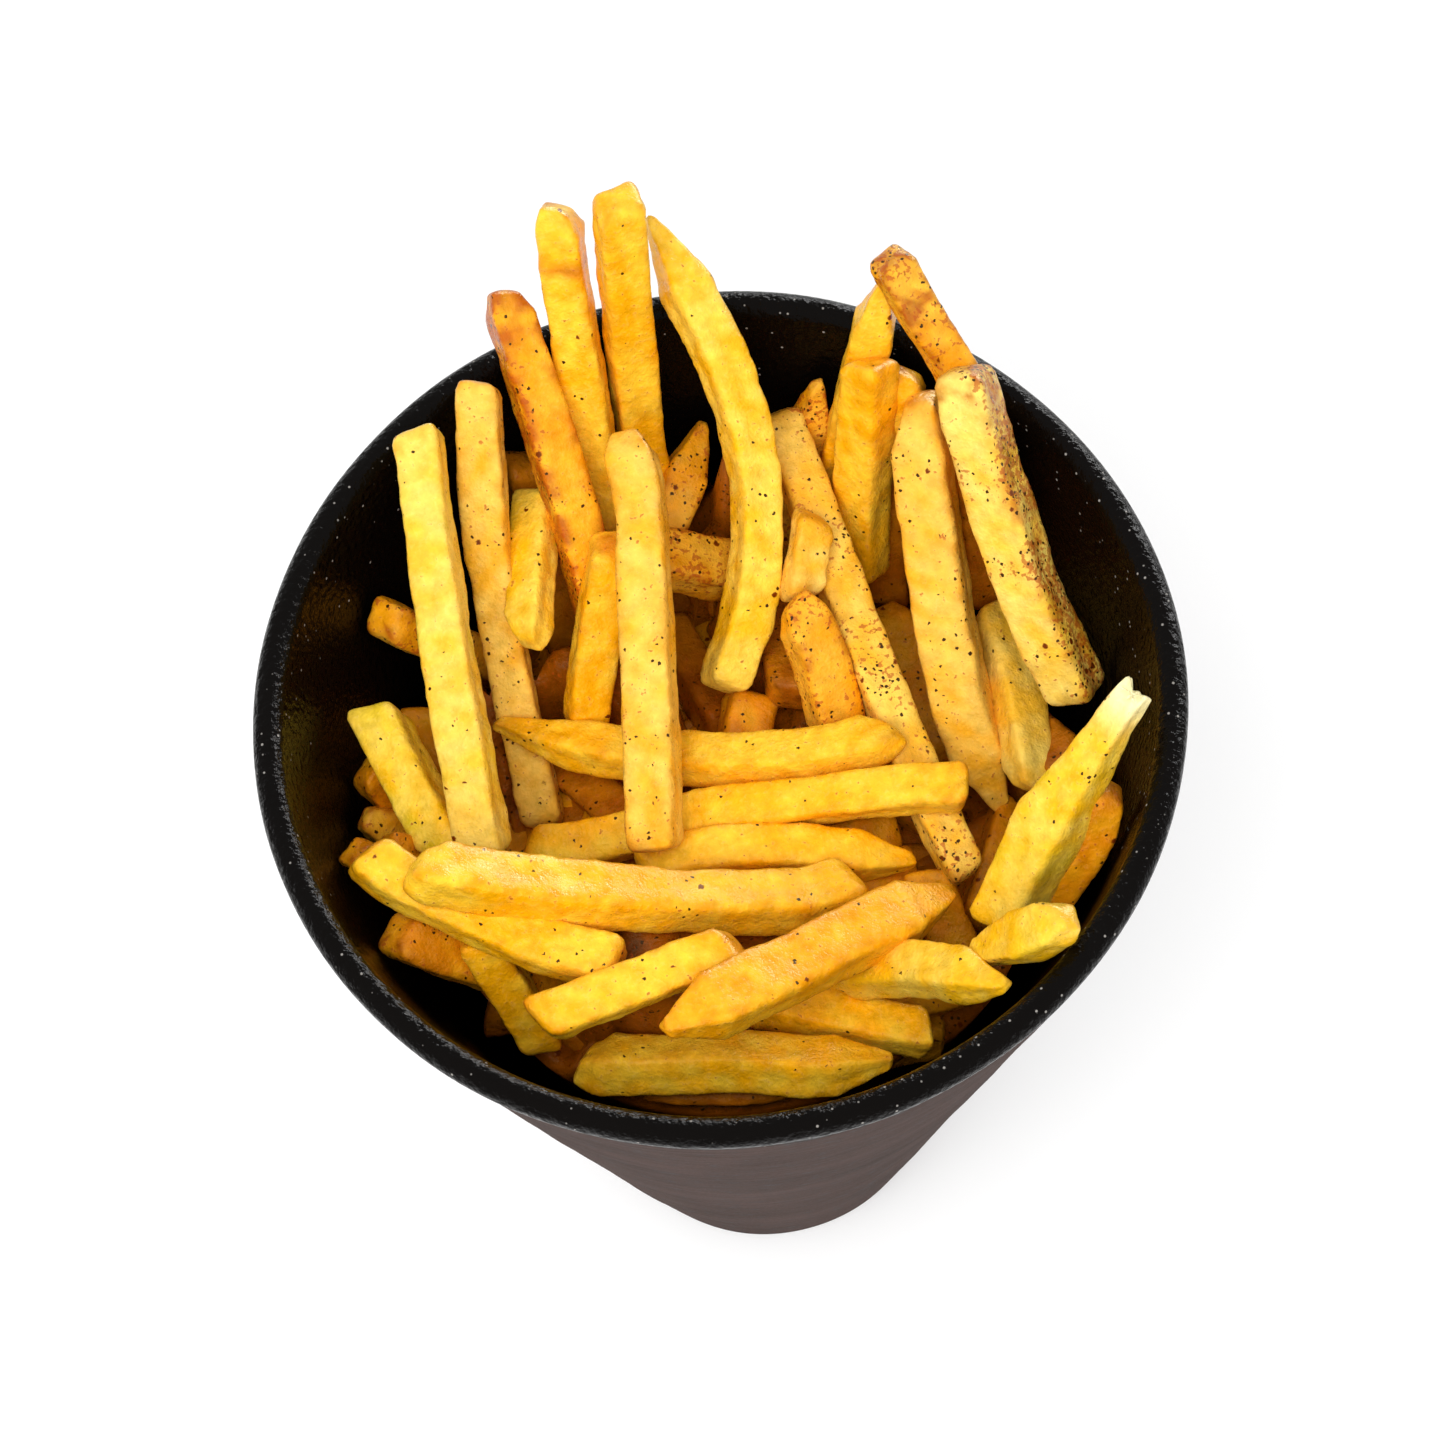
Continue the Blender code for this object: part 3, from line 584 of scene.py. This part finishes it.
def widths(fry, along, length):
    """The side, less towards each end by a straight taper."""
    (first, from_first), (last, from_last) = fry.start, fry.end
    taper = np.interp(along, (0, from_first, length - from_last, length), (first, 1, 1, last))
    return fry.side / 1000 * taper


print("mound, mm above the foot:", round(1000 * float(mound_z(*MOUND_AT)), 1))

# %% Laying them down
def first_contact(on_plane, half):
    """The nearness at which each line of sight, from the eye, first meets the cup's inside or the core."""
    depths = np.arange(NEAREST, DEEPEST, -DEPTH_STEP)
    each = on_plane[:, None, :].repeat(len(depths), 1)
    at = in_space(each, depths[None, :].repeat(len(on_plane), 0))
    hit = cup_distance(at) < half[:, None] * CORNER + WALL_GAP
    hit |= at[..., 2] < mound_z(at[..., 0], at[..., 1]) + half[:, None] - SINK
    inside = ~hit & (at[..., 2] < MOUTH_Z) & (np.hypot(at[..., 0], at[..., 1]) < inner_radius(at[..., 2]))
    hit &= np.arange(len(depths)) >= inside.argmax(1)[:, None]
    return np.where(hit.any(1), depths[hit.argmax(1)], depths[-1])


def rest(run, ground, length):
    """Of the straight lines that stay above the ground, the one whose middle is lowest."""
    slopes = np.linspace(-STEEPEST, STEEPEST, SLOPES) * length
    bases = (ground[None, :] - slopes[:, None] * run[None, :]).max(1)
    best = (bases + slopes / 2 + LEVEL * np.abs(slopes)).argmin()
    return bases[best] + slopes[best] * run


def lay(fries):
    """Each fry on those before it: where two cross, their middles stay half of both widths apart."""
    run = np.linspace(0, 1, SAMPLES)
    placed = []
    for fry in fries:
        pixels = smooth_line(fry.line, SAMPLES)
        on_plane = np.stack((pixels[:, 0] - PICTURE / 2, PICTURE / 2 - pixels[:, 1]), 1) * PIXEL
        length = np.linalg.norm(np.diff(on_plane, axis=0), axis=1).sum()
        half = widths(fry, run * length, length) / 2
        ground = first_contact(on_plane, half)
        for other_plane, other_near, other_half in placed:
            apart = np.linalg.norm(on_plane[:, None] - other_plane[None], axis=2)
            nearest = apart.argmin(1)
            reach = TOUCH * (half + other_half[nearest])
            over = np.sqrt(np.clip(reach**2 - apart.min(1) ** 2, 0, None))
            ground = np.where(over > 0, np.maximum(ground, other_near[nearest] + over), ground)
        placed.append((on_plane, rest(run, ground, length), half))
    return [in_space(on_plane, nearness) for on_plane, nearness, _ in placed]


lines = lay(FRIES)
print("tips, mm above the mouth:", round(1000 * (max(line[:, 2].max() for line in lines) - MOUTH_Z), 1))

# %% [markdown]
# ## One fry
#
# A fry is a stick cut by a grid of blades, so its section is a square with corners that frying has rounded,
# and its ends are cut square, slanting or to a point. A beveled box would look like plastic: the real faces
# sink and blister a little as the water leaves. So the section is a superellipse carried along the fry's
# line, and smooth random waves push its surface in and out by a fraction of a millimetre.

# %% The surface of a fry
AROUND = 48
STEP = 0.0008               # between rings
CAP = 0.0009                # how deep the rounding of a cut end reaches
CAP_RINGS = 6
CAP_SQUARENESS = 2.6
SQUARENESS = 7.0
HOLLOW = 0.035              # how far the middle of a side sinks, as a share of the half width
HOLLOW_POWER = 6            # how far its rim stays from the corners
CUT_REACH = 0.004           # how far from an end its slanting cut is felt
ROUGHNESS = ((0.00012, 0.0075), (0.00006, 0.0030), (0.00004, 0.0016))  # height and wavelength
TORN = ("torn",)            # broken off at its start, so that fibres stand out there
FIBRES = 0.0019             # how far they stand out
CROWD = 0.11                # how far the points of a section crowd towards its corners
TWIST = 12                  # degrees, from end to end, at most
WIDE = 0.93                 # width of a section, as a share of the side
THICK = (0.84, 0.95)        # its thickness, the same
SWAY = 0.035                # how far both change along the fry
SWAY_LENGTH = 0.022
SLANT = 0.42                # most slope of a cut end
CORNER_POWER = 10           # how narrow the strip is that counts as an edge


def sway(along, wavelength, rng):
    """The same waves, read along one line."""
    return waves(np.column_stack((along, np.zeros_like(along), np.zeros_like(along))), wavelength, rng)


def on_line(line, run, at):
    """Points of a line at these distances along it, and straight on past its ends."""
    inside = np.clip(at, 0, run[-1])
    first, last = ((line[i + 1] - line[i]) / (run[i + 1] - run[i]) for i in (0, -2))
    past = np.where((at < 0)[..., None], (at - inside)[..., None] * first, (at - inside)[..., None] * last)
    return np.stack([np.interp(inside, run, line[:, k]) for k in range(3)], -1) + past


def fry_surface(fry, line, rng, around=AROUND, step=STEP):
    """Points and faces of a fry, and for each point: on an edge 0 to 1, metres from each end, facing right.

    A superellipse with hollowed sides is carried along the line. Its radius at an angle is |cos| to the power
    n plus |sin| to the power n, all to the power -1/n. Its width and thickness sway, and it twists a little.
    Each end is rounded off by a quarter superellipse and sheared, as a slanting cut. Waves roughen it.
    """
    run = np.concatenate(([0], np.cumsum(np.linalg.norm(np.diff(line, axis=0), axis=1))))
    length = run[-1]
    cap = CAP * (1 - np.cos(np.linspace(0, np.pi / 2, CAP_RINGS + 1)[1:]))
    body = np.linspace(CAP, length - CAP, max(3, round(length / step)))[1:-1]
    along = np.concatenate((cap, body, (length - cap)[::-1]))
    from_end = np.minimum(along, length - along)
    rounding = (1 - (1 - np.minimum(from_end / CAP, 1)) ** CAP_SQUARENESS) ** (1 / CAP_SQUARENESS)
    size = widths(fry, along, length) / 2 * rounding
    even = np.linspace(0, 2 * np.pi, around, endpoint=False)
    theta = even + CROWD * np.sin(4 * even)
    square = (np.abs(np.cos(theta)) ** SQUARENESS + np.abs(np.sin(theta)) ** SQUARENESS) ** (-1 / SQUARENESS)
    square = square * (1 - HOLLOW * np.cos(2 * theta) ** HOLLOW_POWER)
    twist = math.radians(fry.roll) + math.radians(rng.uniform(-TWIST, TWIST)) * (along / length - 0.5)
    wide = size * (WIDE + SWAY * sway(along, SWAY_LENGTH, rng))
    thick = size * (rng.uniform(*THICK) + SWAY * sway(along, SWAY_LENGTH, rng))
    a = wide[:, None] * square * np.cos(theta)
    b = thick[:, None] * square * np.sin(theta)
    shear = rng.uniform(-SLANT, SLANT, 4)
    near_first = np.exp(-((along / CUT_REACH) ** 2))[:, None]
    near_last = np.exp(-(((length - along) / CUT_REACH) ** 2))[:, None]
    shift = near_first * (shear[0] * a + shear[1] * b) + near_last * (shear[2] * a + shear[3] * b)
    if fry.name in TORN:
        # Two prongs on opposite sides, and finer fibres between them.
        fibres = np.abs(np.cos(even)) ** 3 + 0.25 * np.sin(7 * even) * np.abs(np.sin(even))
        shift -= FIBRES * near_first * rounding[:, None] * fibres
    tangent = np.stack([np.interp(along, run, np.gradient(line[:, k], run)) for k in range(3)], -1)
    tangent /= np.linalg.norm(tangent, axis=1)[:, None]
    side = np.cross(tangent, near)
    side /= np.linalg.norm(side, axis=1)[:, None]
    face = np.cross(side, tangent)
    cos, sin = np.cos(twist)[:, None], np.sin(twist)[:, None]
    turned_side, turned_face = cos * side + sin * face, cos * face - sin * side
    outward = a[..., None] * turned_side[:, None] + b[..., None] * turned_face[:, None]
    points = (on_line(line, run, along[:, None] + shift) + outward).reshape(-1, 3)
    outward = outward.reshape(-1, 3)
    outward /= np.linalg.norm(outward, axis=1)[:, None]
    rough = sum(height * waves(points, wavelength, rng) for height, wavelength in ROUGHNESS)
    poles = on_line(line, run, np.array((0.0, length)))
    points = np.concatenate((points + rough[:, None] * outward, poles))
    on_edge = np.tile((square / square.max()) ** CORNER_POWER, (len(along), 1)).ravel()
    from_start, from_last = along.repeat(around), (length - along).repeat(around)
    numbers = np.stack((on_edge, from_start, from_last, outward @ right), 1)
    numbers = np.concatenate((numbers, ((0, 0, length, 0), (0, length, 0, 0))))
    return points, closed_grid(len(along), around), numbers


# %% [markdown]
# ## The colour of each fry
#
# Frying browns a potato first where it is thin, along its corners and at its cut ends. A look is three tones
# and a few shares of them. An image could hold the colours, but the mesh is fine enough to keep them at its
# points.

# %% Colours of fried potato
Coat = namedtuple("Coat", "base light brown spice edges dust_side")

LOOKS = {
    "pale": Coat("#f3ba2e", "#f7d05a", "#dc9a20", 0.06, 0.15, 0),
    "lemon": Coat("#f4b810", "#f8cf48", "#d98e10", 0.08, 0.15, 0),
    "gold": Coat("#f8ae06", "#fcc830", "#cc7206", 0.05, 0.42, 0),
    "golden": Coat("#f2a004", "#f7b822", "#c26804", 0.05, 0.42, 0),
    "tan": Coat("#f3ae22", "#f7c650", "#c2741a", 0.22, 0.38, 0),
    "peppered": Coat("#f0b026", "#f5c850", "#b86a16", 0.60, 0.35, 0),
    "moist": Coat("#efac20", "#f7d060", "#c87812", 0.10, 0.20, 0),
    # amber: a browner fry whose tone is also darkened, as painted shade, for fries low in the heap.
    "amber": Coat("#dc8404", "#e69c10", "#964804", 0.25, 0.50, 0),
    "spiced": Coat("#ee9c0c", "#f4b430", "#a24804", 0.90, 0.70, 0),
    "paprika": Coat("#f09c08", "#f5b224", "#b04804", 0.80, 0.80, -1),
    "dusted": Coat("#f4c038", "#f9d868", "#b86608", 1.00, 0.40, 1),
    # deep: dark red-brown, partly browner potato and partly painted shade, for fries down in the gaps.
    "deep": Coat("#a65604", "#bc6e08", "#5c2a02", 0.25, 0.40, 0),
}
FLESH = linear("#fbeeb0")
UNRIPE = linear("#d6cc2c")
GREENISH = ("left_first", "torn", "right_low_short", "left_cluster")
SCORCHED = {                # metres from its start, and spread
    "back_left_of_two": (0.0090, 0.0012),
    "top_seasoned": (0.0075, 0.0030),
    "paprika": (0.0040, 0.0024),
    "right_seasoned": (0.0030, 0.0014),
}
PATCHES = ((0.014, 0.40), (0.0040, 0.40))  # sizes in metres and strengths of the lighter patches
FLECKS = ((0.005, 0.4), (0.002, 0.3))      # the same of the flecks that break up every brown place
GREEN_SIZE, GREEN_MOST = 0.012, 0.5
DUST_SIZE, DUST_SPREAD = 0.010, 0.35
EVEN_DUST = 0.6             # how dusty a fry is all over, unless it has a dusty side
DUST_EDGE = 1.6             # how sharply a dusty side ends
CORNER_SPICE = 0.2          # more spice, which stays on corners
LEAST_BROWN_END = 0.2       # the palest end, as a share of the brownest
END_REACH = 0.0016          # how far from a cut end it is browned
END_BROWN, SCORCH_BROWN, DUST_BROWN, MOST_BROWN = 0.75, 0.9, 0.7, 0.85


def field(points, layers, rng):
    """One half and the sum of waves, each of its own size and strength, kept between 0 and 1."""
    total = 0.5
    for size, strength in layers:
        total = total + strength * waves(points, size, rng)
    return np.clip(total, 0, 1)


def fry_colour(fry, look, points, numbers, rng):
    """Linear colour and spice at each point.

    Patches of the light tone lie on the base one. Brown is mixed in along corners, at the ends and where the
    fry is scorched or dusted, and the white of the flesh where it is torn.
    """
    coat = LOOKS[look]
    on_edge, from_start, from_last, facing_right = numbers.T
    from_end = np.minimum(from_start, from_last)
    base, light, brown = (linear(tone) for tone in coat[:3])
    patch = field(points, PATCHES, rng)[:, None]
    green = 0
    if fry.name in GREENISH:
        green = GREEN_MOST * np.clip(waves(points, GREEN_SIZE, rng), 0, 1)[:, None]
    base = base * (1 - green) + UNRIPE * green
    fleck = field(points, FLECKS, rng)
    torn = np.exp(-((from_start / CUT_REACH) ** 2)) if fry.name in TORN else np.zeros(len(points))
    browned = coat.edges * on_edge * fleck
    this_end = END_BROWN * rng.uniform(LEAST_BROWN_END, 1)
    browned += this_end * np.exp(-from_end / END_REACH) * fleck * (1 - torn)
    if fry.name in SCORCHED:
        middle, spread = SCORCHED[fry.name]
        browned += SCORCH_BROWN * np.exp(-(((from_start - middle) / spread) ** 2)) * fleck
    dusty = np.full(len(points), EVEN_DUST)
    if coat.dust_side:
        dusty = np.clip(coat.dust_side * facing_right * DUST_EDGE, 0, 1)
    browned += abs(coat.dust_side) * DUST_BROWN * dusty * fleck
    browned = np.clip(browned, 0, MOST_BROWN)[:, None]
    dusty = dusty + DUST_SPREAD * waves(points, DUST_SIZE, rng)
    spice = coat.spice * np.clip(dusty + CORNER_SPICE * on_edge, 0, 1)
    colour = (base * (1 - patch) + light * patch) * (1 - browned) + brown * browned
    return colour * (1 - torn[:, None]) + FLESH * torn[:, None], spice


def join(surfaces):
    """One set of points and faces from several, and their numbers end to end."""
    faces, offset = [], 0
    for points, own, *_ in surfaces:
        faces += [tuple(index + offset for index in face) for face in own]
        offset += len(points)
    return (np.concatenate([s[0] for s in surfaces]), faces, *(
        np.concatenate([s[k] for s in surfaces]) for k in range(2, len(surfaces[0]))
    ))


rng = np.random.default_rng(11)
finished = {"pale_fries": [], "golden_fries": [], "seasoned_fries": []}
KIND = {
    "pale": "pale_fries", "lemon": "pale_fries", "tan": "pale_fries", "moist": "pale_fries",
    "peppered": "pale_fries",
    "gold": "golden_fries", "golden": "golden_fries", "amber": "golden_fries", "deep": "golden_fries",
    "spiced": "seasoned_fries", "paprika": "seasoned_fries", "dusted": "seasoned_fries",
}
for fry, line in zip(FRIES, lines):
    points, faces, numbers = fry_surface(fry, line, rng)
    colour, spice = fry_colour(fry, fry.look, points, numbers, rng)
    finished[KIND[fry.look]].append((points, faces, colour, spice))
pieces = []
for name, surfaces in finished.items():
    points, faces, colour, spice = join(surfaces)
    pieces.append(make_piece(name, points, faces, numbers={"spice": spice}, colours={"tone": colour}))

# %% [markdown]
# ## The fries underneath
#
# Between the fries on top, others show in the dark. They don't have to lie where the real ones do, so a
# seeded rule scatters them just under the top layer, on a core that follows the same ground.

# %% The core and the fries on it
UNDER_FRY = 0.0065          # how far the ground reaches out under the lowest fries
BITE = 0.0010
CORE_DROP = 0.0030
UNDER_COUNT = 90
UNDER_R = 0.046             # how far from the axis they reach
UNDER_LENGTHS = (0.030, 0.055)
UNDER_SIDES = (6.0, 7.6)    # millimetres
UNDER_ROLL = 40             # degrees, at most
UNDER_STEEPEST = 0.7
AMBER_SHARE = 0.35          # the rest are deep brown
UNDER_SAMPLES, UNDER_SLOPES = 17, 29
UNDER_AROUND = 20           # seen only in the gaps, so they have fewer faces
UNDER_STEP = 0.0018


def ground(x, y):
    """The mound, or the lowest fry's middle over this place if that is higher."""
    lowest = np.full(x.shape, np.inf)
    for line in lines:
        apart = np.hypot(x[..., None] - line[:, 0], y[..., None] - line[:, 1])
        height = line[apart.argmin(-1), 2] - BITE
        lowest = np.where(apart.min(-1) < UNDER_FRY, np.minimum(lowest, height), lowest)
    mound = mound_z(x, y)
    return np.where(np.isinf(lowest), mound, np.maximum(mound, lowest))


CORE_AROUND, CORE_RINGS, CORE_WALL_RINGS = 96, 26, 13
CORE_BROWN, CORE_SPREAD, CORE_PATCH = 0.45, 0.3, 0.006  # mean and spread of its brown, size of patches
CORE_GAP, CORE_FOOT_GAP = 0.0016, 0.0020  # between the core and the wall, at its top and at its foot
edge_z = MOUTH_Z - EDGE_DEPTH - CORE_DROP
core_r = inner_radius(edge_z) - CORE_GAP
bottom_z = FLOOR_Z + FLOOR_ROUND
turn = np.linspace(0, 2 * np.pi, CORE_AROUND, endpoint=False)
radii = core_r * np.linspace(0, 1, CORE_RINGS + 1)[1:]
top = np.stack((radii[:, None] * np.cos(turn), radii[:, None] * np.sin(turn)), -1)
top = np.concatenate((top, (ground(top[..., 0], top[..., 1]) - CORE_DROP)[..., None]), -1)
low_r = inner_radius(bottom_z) - CORE_FOOT_GAP
low = np.stack((low_r * np.cos(turn), low_r * np.sin(turn), np.full(CORE_AROUND, bottom_z)), -1)
share = np.linspace(0, 1, CORE_WALL_RINGS + 1)[1:, None, None]
wall = top[-1] * (1 - share) + low * share
centre = float(ground(np.array([0.0]), np.array([0.0]))[0]) - CORE_DROP
points = np.concatenate((top.reshape(-1, 3), wall.reshape(-1, 3), [(0, 0, centre), (0, 0, bottom_z)]))
# The core takes the deep look's dark tones: painted shade for the hidden depths of the heap.
browned = np.clip(CORE_BROWN + CORE_SPREAD * waves(points, CORE_PATCH, rng), 0, 1)[:, None]
colour = linear(LOOKS["deep"].base) * (1 - browned) + linear(LOOKS["deep"].brown) * browned
spice = np.full(len(points), LOOKS["deep"].spice)
faces = closed_grid(CORE_RINGS + CORE_WALL_RINGS, CORE_AROUND)
core = make_piece("fried_core", points, faces, numbers={"spice": spice}, colours={"tone": colour})

surfaces = []
while len(surfaces) < UNDER_COUNT:
    x, y = rng.uniform(-UNDER_R, UNDER_R, 2)
    heading, length = rng.uniform(0, np.pi), rng.uniform(*UNDER_LENGTHS)
    run = np.linspace(-0.5, 0.5, UNDER_SAMPLES)[:, None] * length
    flat = np.array((x, y)) + run * (math.cos(heading), math.sin(heading))
    if np.hypot(flat[:, 0], flat[:, 1]).max() > UNDER_R:
        continue
    side, roll = rng.uniform(*UNDER_SIDES), rng.uniform(-UNDER_ROLL, UNDER_ROLL)
    under = Fry("under", "deep", side, roll, BLUNT, BLUNT, ())
    height = ground(flat[:, 0], flat[:, 1]) - under.side / 2000
    slopes = np.linspace(-UNDER_STEEPEST, UNDER_STEEPEST, UNDER_SLOPES)
    tops = (height[None, :] - slopes[:, None] * run[:, 0]).min(1)
    best = tops.argmax()
    line = np.column_stack((flat, tops[best] + slopes[best] * run[:, 0]))
    points, faces, numbers = fry_surface(under, line, rng, UNDER_AROUND, UNDER_STEP)
    # The amber and deep looks darken these fries: painted shade, with some real browning.
    look = "amber" if rng.uniform() < AMBER_SHARE else "deep"
    colour, spice = fry_colour(under, look, points, numbers, rng)
    surfaces.append((points, faces, colour, spice))
points, faces, colour, spice = join(surfaces)
pieces.append(
    make_piece("fries_underneath", points, faces, numbers={"spice": spice}, colours={"tone": colour})
)

# %% [markdown]
# ## The finish of fried potato
#
# Fried potato is a crust of dry starch over moist flesh, with a thin film of oil. Its colour, which each
# point keeps, is yellow in the lit parts and amber in the deep ones, so Subsurface would add render time and
# little else here. The oil gives soft highlights, yellowish like itself. Ground pepper and browned crumbs
# stick to the crust as separate specks, which a Voronoi texture gives: one speck in each of its cells, where
# chance and the amount of spice allow it. Paprika lies between them as a powder, from a Noise texture.

# %% Fried potato
CRUST_MM = 1.6              # patches of thicker and thinner crust
BLISTER_MM = 0.8            # blisters in it, whose dry tops are paler
GRAIN_MM = 0.38             # starch grains; the real ones are too fine to show
POWDER_MM = 0.8             # paprika, caked together
BLISTER_DEPTH, GRAIN_DEPTH = 0.00040, 0.00014  # metres
PUSH = 0.0006               # how far the waves below shift the edge of a speck
DRY_STARCH = linear("#fdeeb0")
CLUSTER_MM = 7              # spacing of the places where pepper gathered
RAGGED_MM = 0.5             # size of the waves that make the specks ragged
OIL_TINT = "#fff0c0"        # frying oil is yellowish, and so are its highlights
PEPPER = Speck(0.9, 0.24, 0.07, 0.80)
BROWNED = Speck(2.6, 0.14, 0.06, 0.60)
PEPPER_COLOUR = linear("#361b03")
PAPRIKA_COLOUR = linear("#a8480a")
BROWNED_COLOUR = linear("#6e2a02")

potato, shader = new_material("fried potato with pepper and paprika")
tree = potato.node_tree
place = node(tree, "ShaderNodeTexCoord").outputs["Object"]
tone = node(tree, "ShaderNodeAttribute", {"attribute_name": "tone"}).outputs["Color"]
spice = node(tree, "ShaderNodeAttribute", {"attribute_name": "spice"}).outputs["Fac"]
crust = noise(tree, place, CRUST_MM, 4.0)
blisters = noise(tree, place, BLISTER_MM, 3.0)
lift = ramp(tree, crust, (0.3, 0.7), (0.82, 1.10))
varied = node(tree, "ShaderNodeVectorMath", {"operation": "SCALE"}, _0=tone, Scale=lift).outputs["Vector"]
light_part = node(tree, "ShaderNodeSeparateColor", Color=tone).outputs["Green"]
dry = ramp(tree, blisters, (0.52, 0.72), (0.0, 0.16), smooth=True)
varied = mix(tree, maths(tree, "MULTIPLY", dry, light_part), varied, DRY_STARCH)
pushed = noise(tree, place, RAGGED_MM, 2.0, "Color")
push = node(tree, "ShaderNodeVectorMath", {"operation": "SCALE"}, _0=pushed, Scale=PUSH).outputs["Vector"]
ragged = node(tree, "ShaderNodeVectorMath", {"operation": "ADD"}, _0=place, _1=push).outputs["Vector"]
cluster = ramp(tree, noise(tree, place, CLUSTER_MM, 1.0), (0.42, 0.66), (0.2, 2.2))
gathered = maths(tree, "MULTIPLY", spice, cluster)
powder = maths(tree, "MULTIPLY_ADD", spice, 0.20, noise(tree, place, POWDER_MM, 4.0))
powder = ramp(tree, powder, (0.66, 0.74), (0.0, 0.75), smooth=True)
colour = mix(tree, powder, varied, PAPRIKA_COLOUR)
for kind, spot_colour in ((BROWNED, BROWNED_COLOUR), (PEPPER, PEPPER_COLOUR)):
    limit = maths(tree, "MULTIPLY", gathered, kind.share)
    colour = mix(tree, speckle(tree, ragged, kind, limit), colour, spot_colour)
grain = noise(tree, place, GRAIN_MM, 1.0)
coarse = node(tree, "ShaderNodeBump", Height=blisters, Strength=0.5, Distance=BLISTER_DEPTH).outputs["Normal"]
bump = node(tree, "ShaderNodeBump",
            Height=grain, Strength=0.5, Distance=GRAIN_DEPTH, Normal=coarse).outputs["Normal"]
rough = ramp(tree, crust, (0.3, 0.7), (0.22, 0.48))
tree.links.new(colour, shader.inputs["Base Color"])
tree.links.new(rough, shader.inputs["Roughness"])
tree.links.new(bump, shader.inputs["Normal"])
shader.inputs["Specular IOR Level"].default_value = 0.50
shader.inputs["Specular Tint"].default_value = (*linear(OIL_TINT), 1)
for piece in pieces + [core]:
    piece.data.materials.append(potato)

for piece in pieces + [core]:
    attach(piece, "root")
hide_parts("fries")
for piece in pieces:
    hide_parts("fries")
print("pieces of the heap:", [piece.name for piece in pieces + [core]])
